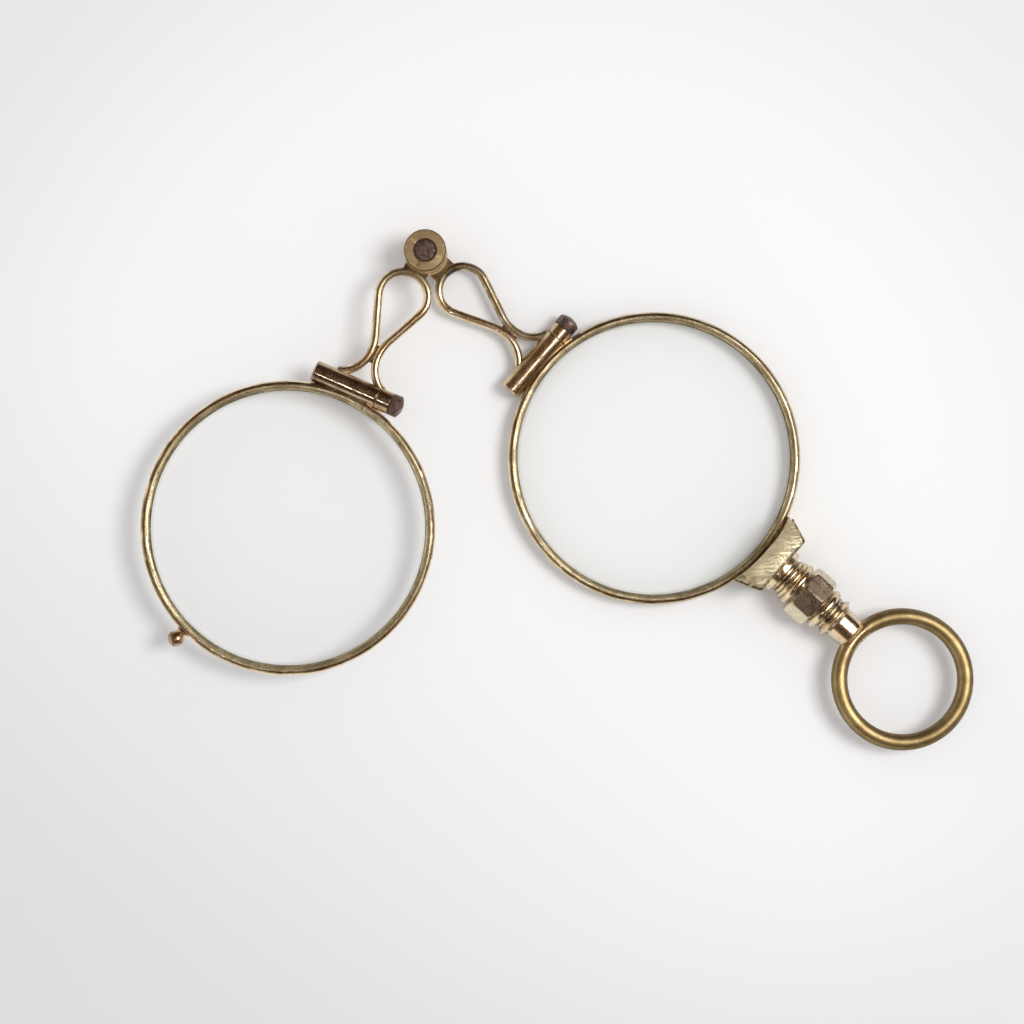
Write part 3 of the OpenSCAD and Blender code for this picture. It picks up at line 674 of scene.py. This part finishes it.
FINISHES = {
    "hub_gold": hub_gold(),
    "rusty_steel": rusty_steel(),
    "spring_steel": spring_steel(),
    "rim_gold": rim_gold(),
    "lens_glass": lens_glass(),
    "knob_gold": knob_gold(),
    "block_gold": block_gold(),
    "stem_gold": stem_gold("stem_gold", 2.25, 2.7),
    "ferrule_gold": stem_gold("ferrule_gold", 1.3, 2.0),
    "knop_gold": knop_gold(),
    "core_brass": core_brass(),
    "ring_brass": ring_brass(),
    "solder_brown": solder_brown(),
    "right_tube_gold": tube_gold("right_tube_gold", (0.82, 0.68, 0.49), (0.60, 0.46, 0.29)),
    "left_tube_gold": tube_gold("left_tube_gold", (0.58, 0.45, 0.33), (0.40, 0.29, 0.20)),
    "right_loop_gold": loop_gold("right_loop_gold", RIGHT, 1, (0.09, 0.06, 0.035)),
    "left_loop_gold": loop_gold("left_loop_gold", LEFT, -1, (0.32, 0.24, 0.13)),
}


# Rims and lenses

def rim_profile():
    """Above and below: a quarter round outside, a flat bevel at 19 degrees towards the lens, and the steep
    rest of the round. Between them is the groove for the glass. The first value is the distance out from the
    lens axis, less the rim's radius."""
    half = RIM_WIDTH / 2
    groove_h = LENS_EDGE / 2 + GROOVE_PLAY
    groove_r = LENS_RADIUS + GROOVE_PLAY - RIM_RADIUS
    dome = arc((-half, RIM_HALF_STRAIGHT), half, 0, math.pi / 2, 10)
    lip = arc((-half, RIM_HALF_STRAIGHT), half, math.radians(128), math.radians(168), 4)
    upper = np.concatenate([dome, lip, [[lip[-1, 0], groove_h], [groove_r, groove_h]]])
    return np.concatenate([upper, upper[::-1] * np.array([1, -1])])


def rim_split(arm):
    """The angle of the split's middle round the lens axis, and half of the split's own angle."""
    split_y = arm.seam + TUBE_SEAM / 2
    return arm.tilt + math.pi - math.asin(split_y / RIM_RADIUS), RIM_SPLIT / 2 / RIM_RADIUS


def round_lens(arm, a, r, z):
    """Grid round an arm's lens axis: an angle for each row, and distances from the axis and heights."""
    return on_arm(arm, np.stack([LENS_REACH + r * np.cos(a), r * np.sin(a), z], -1))


def rim(arm):
    """The rim's section carried once round the lens axis, from one side of its split to the other."""
    split, half_split = rim_split(arm)
    a = np.linspace(split + half_split, split + 2 * math.pi - half_split, 720)[:, None]
    section = rim_profile()
    r = RIM_RADIUS + ripple(a, 3, 40, 0.005 * MM) + section[:, 0]
    z = (1 + ripple(a, 5, 50, 0.003)) * section[:, 1]
    piece = skin(arm.side + "_rim_wire", round_lens(arm, a, r, z), sharp=50)
    dressed(piece, "rim_gold", arm.body, "rim_gold", arm.side + "_rim")


def split_grime(arm):
    """Old grime in the rim's split, a little sunk: the rim's section shrunk about its middle."""
    split, half_split = rim_split(arm)
    sunk = 0.93
    a = np.linspace(split - half_split, split + half_split, 3)[:, None]
    section = rim_profile()
    centre = section[:, 0].mean()
    r = RIM_RADIUS + centre + (section[:, 0] - centre) * sunk
    z = np.ones_like(a) * (section[:, 1] * sunk)
    grime = skin(arm.side + "_split_grime", round_lens(arm, a, r, z))
    dressed(grime, "solder_brown", arm.body, "rim_gold")


def lens(arm):
    """A disc with two shallow caps: the height falls with the square of the radius, and the edge has a small
    bevel. It is turned about X, and then X takes the place of Z."""
    bevel = 0.12 * MM
    r = LENS_RADIUS * np.linspace(0.001, 1, 40)
    r[-1] = LENS_RADIUS - bevel
    rise = LENS_EDGE / 2 + LENS_RISE * (1 - (r / LENS_RADIUS) ** 2)
    top = np.stack([rise, r], -1)
    edge = np.array([[LENS_EDGE / 2 - bevel, LENS_RADIUS], [bevel - LENS_EDGE / 2, LENS_RADIUS]])
    profile = np.concatenate([top, edge, top[::-1] * np.array([-1, 1])])
    grid = turned(profile, 240)[..., [1, 2, 0]] + np.array([LENS_REACH, 0, 0])
    piece = skin(arm.side + "_lens_glass", on_arm(arm, grid), sharp=30)
    dressed(piece, "lens_glass", arm.body, "lens_glass", arm.side + "_lens")


# Closing tubes

def round_tubes(arm, profile, steps, wobble=None):
    """Grid of a profile turned about the axis of an arm's closing tubes, which runs nearly along the arm's Y:
    X and Y change places first."""
    grid = turned(profile, steps, wobble)[..., [1, 0, 2]]
    grid = grid + np.array([-TUBE_AXIS_RADIUS, TUBE_AXIS_RADIUS * math.tan(arm.tilt), 0])
    return on_arm(arm, moved(grid, arm.tilt, (LENS_REACH, 0, 0)))


def tube(arm, kind, ends, bevels, depths):
    """A sleeve between its two ends, with a bevel on each outer edge and a bore of some depth in each end."""
    (start, end), (first, last) = ends, bevels
    front, back = start + depths[0], end - depths[1]
    profile = np.concatenate([
        [[front, BORE_END], [front, TUBE_BORE], [start, TUBE_BORE], [start, TUBE_RADIUS - first]],
        np.stack([np.linspace(start + first, end - last, 40), np.full(40, TUBE_RADIUS)], -1),
        [[end, TUBE_RADIUS - last], [end, TUBE_BORE], [back, TUBE_BORE], [back, BORE_END]],
    ])
    profile = soft_corner(profile, 0.06 * MM, 3)
    grid = round_tubes(arm, profile, 96, lambda a: ripple(a, 11, 3, 0.006 * MM))
    piece = skin("%s_%s_sleeve" % (arm.side, kind), grid)
    dressed(piece, arm.side + "_tube_gold", arm.body, "tube_gold", "%s_%s_tube" % (arm.side, kind))


def closing_tubes(arm):
    """The long tube with its open end, the short tube, the grimy seam between them, and the closing screw."""
    sunk = 0.07 * MM
    long_ends, short_ends = (-LONG_TUBE_REACH, arm.seam), (arm.seam + TUBE_SEAM, SHORT_TUBE_REACH)
    tube(arm, "long", long_ends, (OPEN_BEVEL, SEAM_BEVEL), (OPEN_BORE_DEPTH, SEAM_BORE_DEPTH))
    tube(arm, "short", short_ends, (SEAM_BEVEL, HEAD_BEVEL), (SEAM_BORE_DEPTH, SEAM_BORE_DEPTH))
    seam = np.array([[arm.seam, TUBE_BORE], [arm.seam, TUBE_RADIUS - sunk]])
    seam = np.concatenate([seam, seam[::-1] + [TUBE_SEAM, 0]])
    grime = skin(arm.side + "_seam_grime", round_tubes(arm, seam, 64))
    dressed(grime, "solder_brown", arm.body, "tube_gold")
    screw = softened(arm.side + "_screw", arm.side + "_closing_screw", 0.1 * MM)
    dressed(screw, "rusty_steel", arm.body, "rusty_steel", arm.side + "_closing_screw")


# Wire loops

def loop_span(arm):
    """Where a loop starts beside the hub, and its length to the inside of the tube's wall."""
    start = HUB_RADIUS + arm.loop_gap + WIRE_RADIUS
    return start, LENS_REACH - TUBE_AXIS_RADIUS - TUBE_RADIUS + FLARE_BITE - start


def loop_path(arm):
    """From one flared end round the loop to the other: flare, neck bend, straight side, round end and back.
    The straight side is the inner tangent of the round end and the neck bend."""
    start, length = loop_span(arm)
    round_r, bend_r, flare_l = ROUND_SHARE * length, BEND_SHARE * length, FLARE_SHARE * length
    neck_x, neck_y = length - flare_l, WIRE_RADIUS + NECK_GAP / 2
    dx, dy = neck_x - round_r, neck_y + bend_r
    touch = math.atan2(dy, dx) + math.acos((round_r + bend_r) / math.hypot(dx, dy))
    halves = []
    for reach in arm.reach:
        flare_turn = 2 * math.atan2(reach, flare_l)
        flare_r = flare_l / math.sin(flare_turn)
        halves.append(np.concatenate([
            arc((round_r, 0), round_r, math.pi, touch, 60),
            arc((neck_x, dy), bend_r, touch + math.pi, 1.5 * math.pi, 50),
            arc((neck_x, neck_y + flare_r), flare_r, 1.5 * math.pi, 1.5 * math.pi + flare_turn, 30)[1:],
        ]))
    far = halves[1] * np.array([1, -1])
    path = np.concatenate([halves[0][::-1], far[1:]])
    return spaced(path, 0.12 * MM) + np.array([start, arm.loop_shift])


def loop(arm):
    """Round wire along the loop's path, a little uneven in thickness, with its ends sunk in the tube."""
    path = loop_path(arm)
    along = np.linspace(0, 2 * math.pi, len(path))
    thick = 1 + ripple(along, 17, 10, 0.012)
    section = round_section(WIRE_RADIUS)[None] * thick[:, None, None]
    piece = skin(arm.side + "_loop_wire", on_arm(arm, swept(path, section)))
    dressed(piece, arm.side + "_loop_gold", arm.body, "wire_gold", arm.side + "_loop")


def solder_bead(name, arm, centre, half, seed):
    """A flattened lump of solder: an ellipsoid whose radius wobbles with both its angles."""
    up = np.linspace(0.02, math.pi - 0.02, 28)[:, None]
    around = np.linspace(0, 2 * math.pi, 48, endpoint=False)[None, :]
    swell = 1 + 0.5 * (ripple(up + around, seed, 2, 0.12) + ripple(around, seed + 1, 3, 0.1))
    x = half[0] * swell * np.sin(up) * np.cos(around)
    y = half[1] * swell * np.sin(up) * np.sin(around)
    z = half[2] * np.cos(up) * np.ones_like(around)
    grid = np.stack([x, y, z], -1) + np.array(centre)
    dressed(skin(arm.side + "_solder_" + name, on_arm(arm, grid)), "solder_brown", arm.body, "wire_gold")


def solder(arm):
    """Beads of solder where the two wires meet, where their ends join the tube, and at the hub."""
    start, length = loop_span(arm)
    neck = start + (1 - FLARE_SHARE) * length
    end = start + length - FLARE_BITE
    solder_bead("neck", arm, (neck, arm.loop_shift, 0), (1.25 * MM, 0.5 * MM, 0.36 * MM), 41)
    for k, side in enumerate((1, -1)):
        place = (end - 0.05 * MM, arm.loop_shift + side * arm.reach[k], 0)
        solder_bead("end_%d" % k, arm, place, (0.42 * MM, 0.6 * MM, 0.45 * MM), 43 + k)
    solder_bead("hub", arm, (start - 0.1 * MM, arm.loop_shift, 0), (0.62 * MM, 1.5 * MM, 0.5 * MM), 47)


def thumb_knob():
    """A ball on a short neck with a wider foot, turned about its own axis and soldered to the folding rim."""
    ball = arc((KNOB_REACH, 0), KNOB_RADIUS, math.radians(145), 0.02, 40)
    profile = np.concatenate([[[0, KNOB_NECK * 1.5], [0.08 * MM, KNOB_NECK * 1.15]], ball])
    grid = turned(soft_corner(profile, 0.1 * MM, 3), 96, lambda a: ripple(a, 23, 3, 0.012 * MM))
    grid = moved(grid + np.array([RIM_RADIUS, 0, 0]), -KNOB_ANGLE, (LENS_REACH, 0, 0))
    foot = (LENS_REACH + RIM_RADIUS * math.cos(KNOB_ANGLE), -RIM_RADIUS * math.sin(KNOB_ANGLE), 0)
    solder_bead("knob", LEFT, foot, (0.55 * MM, 0.75 * MM, 0.5 * MM), 53)
    piece = skin("knob_ball", on_arm(LEFT, grid), sharp=60)
    dressed(piece, "knob_gold", "folding_side", "wire_gold", "thumb_knob")


# Hub and catch

def hub_and_catch():
    """The knuckles and the catch block are the CAD shapes with their edges worn round, and grime fills most
    of the slot that shows in the hub's upper face."""
    for node, body in (("lower_knuckle", "handle_side"), ("upper_knuckle", "folding_side")):
        dressed(softened("worn_" + node, node, 0.08 * MM), "hub_gold", body, "hub_gold", node)
    slot, half_diagonal, depth = np.array([1.4, 1.8, 2.26]) * MM, 0.23 * MM, 0.22 * MM
    square = arc((0, 0), half_diagonal, math.pi / 4, 2.25 * math.pi, 5)[:-1]
    grid = swept(np.stack([slot, np.zeros(3)], -1), square)
    grid = moved(grid, LEFT.turn, (0, 0, HUB_HEIGHT - depth))
    dressed(skin("slot_grime", grid, sharp=60), "solder_brown", "folding_side", "hub_gold")
    block = softened("worn_catch_block", "catch_block", 0.14 * MM)
    dressed(block, "block_gold", "handle_side", "block_gold", "catch_block")


def rivet():
    """A peened rivet: a shank with two low domed ends whose edges are a little out of round. It is turned
    about X, and then X and Z change places."""
    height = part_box("hub_rivet")[1].z
    head_r = half_width("hub_rivet")
    shank_r, head_h, dome_h = 0.9 * MM, 0.6 * MM, 0.06 * MM
    r = head_r * np.linspace(0.01, 0.94, 24)
    low = np.stack([dome_h * (r / head_r) ** 3, r], -1)
    waist = np.array([[dome_h * 1.6, head_r], [head_h, head_r], [head_h, shank_r], [height / 2, shank_r]])
    half = np.concatenate([low, waist])
    profile = np.concatenate([half, (half * [-1, 1] + [height, 0])[::-1][1:]])
    grid = turned(profile, 120, lambda a: ripple(a, 29, 5, 0.01 * MM))[..., [2, 1, 0]]
    dressed(skin("peened_rivet", grid), "rusty_steel", "handle_side", "rusty_steel", "hub_rivet")


# Stem

def half_round(x, crest, width, steps=16):
    """Profile of a turned round moulding that starts at x, with its crest at the given radius."""
    return arc((x + width / 2, crest - width / 2), width / 2, math.pi, 0, steps)


def flat_ring(radius, width, worn):
    """Profile of a flat ring that starts at 0, with its corners worn round."""
    inner = NECK_RADIUS - 0.2 * MM
    corners = np.array([[0, inner], [0, radius], [width, radius], [width, inner]])
    return soft_corner(corners, worn, 5)[1:-1]


def stem_piece(name, node, finish, start, parts):
    """Turns a profile about the stem's axis: the parts in order, closed inside the core at both ends."""
    inside = CORE_RADIUS * 0.5
    profile = np.concatenate(parts)
    profile = np.concatenate([[[profile[0, 0], inside]], profile, [[profile[-1, 0], inside]]])
    grid = turned(profile, 168, lambda a: ripple(a, len(name), 4, 0.006 * MM))
    piece = skin(name, grid + np.array([start, STEM_SHIFT, MID_HEIGHT]), sharp=40)
    dressed(piece, finish, "handle_side", "stem_gold", node)


def collar():
    """A flange with worn corners, three reeds that grow towards the knop, a bead and a short neck."""
    flange_w, flange_r = 0.9 * MM, 3.05 * MM
    reed_w, reed_r, reed_rise = 0.57 * MM, 2.42 * MM, 0.2 * MM
    bead_w, bead_r = 0.95 * MM, 3.1 * MM
    bead_x = flange_w + 3 * reed_w
    neck_x = bead_x + bead_w
    stem_piece("reeded_collar", "stem_collar", "stem_gold", STEM_START, [
        flat_ring(flange_r, flange_w, 0.16 * MM),
        *(half_round(flange_w + i * reed_w, reed_r + i * reed_rise, reed_w) for i in range(3)),
        half_round(bead_x, bead_r, bead_w, 24),
        np.array([[neck_x, NECK_RADIUS], [neck_x + NECK_WIDTH, NECK_RADIUS]]),
    ])


def shoulder():
    """A short neck, a bead, a small ring, and a slope up to a thin flange."""
    bead_w, bead_r = 1.15 * MM, 2.95 * MM
    ring_w, ring_r = 0.55 * MM, 2.45 * MM
    flange_w, flange_r = 0.75 * MM, 2.88 * MM
    ring_x = NECK_WIDTH + bead_w
    slope_x = ring_x + ring_w
    end_x = slope_x + flange_w
    flange = np.array([
        [slope_x, NECK_RADIUS], [end_x - 0.15 * MM, flange_r - 0.03 * MM], [end_x - 0.08 * MM, flange_r],
        [end_x, flange_r - 0.02 * MM], [end_x, NECK_RADIUS],
    ])
    stem_piece("beaded_shoulder", "stem_shoulder", "stem_gold", SHOULDER_START, [
        np.array([[0, NECK_RADIUS], [NECK_WIDTH, NECK_RADIUS]]),
        half_round(NECK_WIDTH, bead_r, bead_w, 24),
        half_round(ring_x, ring_r, ring_w),
        soft_corner(flange, 0.04 * MM, 3),
    ])


def ferrule():
    """A low flange that slopes down to a tapered barrel, bevelled at the finger ring."""
    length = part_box("ring_ferrule")[1].x - FERRULE_START
    flange_r, edge = 2.7 * MM, 0.04 * MM
    waist_x, waist_r = 0.55 * MM, 2.16 * MM
    end_r, bevel, closed_r = 2.1 * MM, 0.12 * MM, 1.2 * MM
    barrel = np.array([
        [0, NECK_RADIUS], [0, flange_r - edge], [edge, flange_r], [waist_x, waist_r],
        [length - bevel, end_r], [length, end_r - bevel], [length, closed_r],
    ])
    barrel = soft_corner(barrel, 0.12 * MM, 5)
    stem_piece("barrel_ferrule", "ring_ferrule", "ferrule_gold", FERRULE_START, [barrel])


def knop():
    """An octagonal prism whose corners are worn. The radius is a soft minimum of the prism's radius a and
    the radius b of a turned form whose ends are rounded by a quarter circle: -log(exp(-k a) + exp(-k b)) / k.
    A little is added, because a soft minimum is less than both. Flat faces close both ends."""
    corner_r, edge_r, length = 3.67 * MM, 0.6 * MM, SHOULDER_START - KNOP_START
    flat_r = corner_r * math.cos(math.pi / 8)
    around = np.linspace(0, 2 * math.pi, 8 * 48, endpoint=False)
    entry = np.linspace(0, 1, 24)[:-1] ** 1.5 * edge_r
    along = np.concatenate([entry, np.linspace(edge_r, length - edge_r, 30), length - entry[::-1]])
    from_end = np.minimum(np.minimum(along, length - along), edge_r)
    crown = corner_r - edge_r + np.sqrt(np.maximum(edge_r ** 2 - (edge_r - from_end) ** 2, 0))
    turn = math.radians(-5)
    beside = (around - turn + math.pi / 8) % (math.pi / 4) - math.pi / 8
    prism = flat_r / np.cos(np.abs(np.abs(beside) - math.pi / 8))
    k, added = 26 / MM, 0.015 * MM
    radius = added - np.log(np.exp(-k * prism) + np.exp(-k * crown[:, None])) / k
    inside = 0.3
    radius = np.concatenate([radius[:1] * inside, radius, radius[-1:] * inside])
    along = np.concatenate([along[:1], along, along[-1:]])
    x = along[:, None] * np.ones_like(radius)
    grid = np.stack([x, radius * np.cos(around), radius * np.sin(around)], -1)
    piece = skin("worn_knop", grid + np.array([KNOP_START, STEM_SHIFT, MID_HEIGHT]), sharp=50)
    dressed(piece, "knop_gold", "handle_side", "knop_gold", "octagonal_knop")


def finger_ring():
    """Round wire bent to a ring, from one side of its joint to the other, slightly uneven in thickness and
    thin enough for its thickest places to stay in the CAD ring's size."""
    gap = RING_JOINT / RING_RADIUS / 2
    a = np.linspace(math.pi + gap, 3 * math.pi - gap, 360)
    path = np.stack([RING_RADIUS * np.cos(a), RING_RADIUS * np.sin(a)], -1)
    thick = 1 + ripple(a, 31, 9, 0.008)
    section = round_section(RING_WIRE * 0.992, 40)[None] * thick[:, None, None]
    grid = swept(path, section) + np.array([RING_CENTRE, STEM_SHIFT, MID_HEIGHT])
    dressed(skin("ring_wire", grid), "ring_brass", "handle_side", "ring_brass", "finger_ring")


for arm in (RIGHT, LEFT):
    rim(arm)
    split_grime(arm)
    lens(arm)
    closing_tubes(arm)
    loop(arm)
    solder(arm)
thumb_knob()
hub_and_catch()
rivet()
collar()
shoulder()
ferrule()
knop()
finger_ring()

# The pieces inside stay the CAD shapes, with finishes of the same kind as the rest
INSIDE = {"hub_spring": "spring_steel", "catch_spring": "spring_steel", "stem_core": "core_brass"}
for node, finish in INSIDE.items():
    frame["nodes"][node].material_slots[0].material = FINISHES[finish]


# Table, lights and camera

CENTRE = np.array([30.74, -17.52, 0]) * MM
CAMERA_HEIGHT = 365 * MM
CAMERA_TURN = math.radians(41.95)
CAMERA_LENS = 98.07


def table():
    """A wide flat sheet under the object, matte white, with a painted falloff of light: darker towards the
    picture's lower left and a little towards all its corners."""
    f = Finish("table_white")
    x, y, _ = f.axes(CAMERA_TURN, origin=tuple(CENTRE))
    # Painted falloff of light across the table.
    corner = x.hypot(y).between(50.0, 95.0)
    low_left = (x * -0.5 - y * 0.85).between(0.0, 85.0)
    painted_light_falloff = f.mix(low_left, (0.94, 0.94, 0.935), (0.76, 0.76, 0.775))
    painted_light_falloff = f.mix(corner * 0.6, painted_light_falloff, (0.75, 0.75, 0.755))
    grain = f.bump(f.noise(1.5, 3.0), 0.01 * MM, 0.2)
    half = 3.0
    corners = [(-half, -half, 0), (half, -half, 0), (half, half, 0), (-half, half, 0)]
    mesh = bpy.data.meshes.new("table")
    mesh.from_pydata(corners, [], [(0, 1, 2, 3)])
    mesh.materials.append(f.surface(Base_Color=painted_light_falloff, Roughness=0.9, Specular_IOR_Level=0.0, Normal=grain))
    linked("table", mesh)


def tent():
    """A dome round the set that only shiny surfaces see. Its brightness depends on the direction: dark brown
    overhead and towards the light's side, with a dim room in it and a warm halo round the softbox, and cream
    low down away from the light."""
    radius, rows, around = 1.6, 24, 64
    up = np.linspace(0.001, math.pi / 2, rows)
    turn = np.linspace(0, 2 * math.pi, around, endpoint=False)
    side = radius * np.sin(up)[:, None]
    grid = np.stack([
        CENTRE[0] + side * np.cos(turn), CENTRE[1] + side * np.sin(turn),
        radius * np.cos(up)[:, None] * np.ones(around),
    ], -1)
    piece = skin("studio_tent", grid)
    f = Finish("tent_cloth")
    x, y, z = f.axes(origin=tuple(CENTRE))
    room = f.noise(0.004, 3.0, f.place(origin=tuple(CENTRE))).between(0.4, 0.65)
    cream = (x * 0.5 + y * 0.87).angle(z).between(-46.0, -64.0)
    tilt = y.angle(z)
    halo = tilt.near(27.0, 24.0, 16.0) * x.angle(z).near(21.0, 19.0, 16.0) * 0.6
    warm = tilt.near(-4.0, 6.0, 8.0) * 0.5
    brown = f.mix(room * 0.5, (0.030, 0.018, 0.012), (0.20, 0.12, 0.07))
    glow = f.mix(halo.math("MAXIMUM", warm), brown, (0.30, 0.18, 0.09))
    colour = f.mix(cream, glow, (0.92, 0.86, 0.76))
    light = f.node("ShaderNodeEmission", values={"Color": colour, "Strength": 1.0})
    piece.data.materials.append(f.joined(light))
    for ray in ("camera", "diffuse", "transmission", "shadow", "volume_scatter"):
        setattr(piece, "visible_" + ray, False)


def softbox(name, lean, distance, size, power, unlit):
    """An area light aimed at the middle of the set. lean is its lean from overhead towards +X and +Y, and
    unlit is the kind of surface that it leaves alone: diffuse or glossy."""
    data = bpy.data.lights.new(name, "AREA")
    data.shape = "RECTANGLE"
    data.size, data.size_y = size
    data.energy = power
    lamp = linked(name, data)
    way = Vector((math.tan(math.radians(lean[0])), math.tan(math.radians(lean[1])), 1)).normalized()
    lamp.rotation_euler = way.to_track_quat("Z", "Y").to_euler()
    lamp.location = Vector(CENTRE) + way * distance
    lamp.visible_camera = False
    setattr(lamp, "visible_" + unlit, False)


def world():
    """Pale to the camera and to shiny and clear surfaces; a weak neutral fill for the rest."""
    f = Nodes(bpy.data.worlds.new("studio"), "ShaderNodeOutputWorld")
    colour = f.mix(f.rays("Camera", "Glossy", "Transmission"), (0.62, 0.61, 0.62), (0.93, 0.93, 0.93))
    bpy.context.scene.world = f.joined(f.node("ShaderNodeBackground", values={"Color": colour}))


def camera():
    """The photograph's view: straight down, rolled so that the fixed arm runs to the lower right."""
    data = bpy.data.cameras.new("photo_view")
    data.lens = CAMERA_LENS
    data.sensor_width = 36
    data.clip_start = 0.01
    eye = linked("photo_view", data)
    eye.location = (CENTRE[0], CENTRE[1], CAMERA_HEIGHT)
    eye.rotation_euler = (0, 0, CAMERA_TURN)
    bpy.context.scene.camera = eye


table()
tent()
softbox("key", (18, 24), 1.0, (0.34, 0.38), 4.6, "glossy")
softbox("softbox", (25.5, 28.5), 0.55, (0.33, 0.42), 1.8, "diffuse")
softbox("small_lamp", (0, -22), 0.55, (0.03, 0.03), 0.08, "diffuse")
world()
camera()
bpy.context.scene.view_settings.view_transform = "Standard"
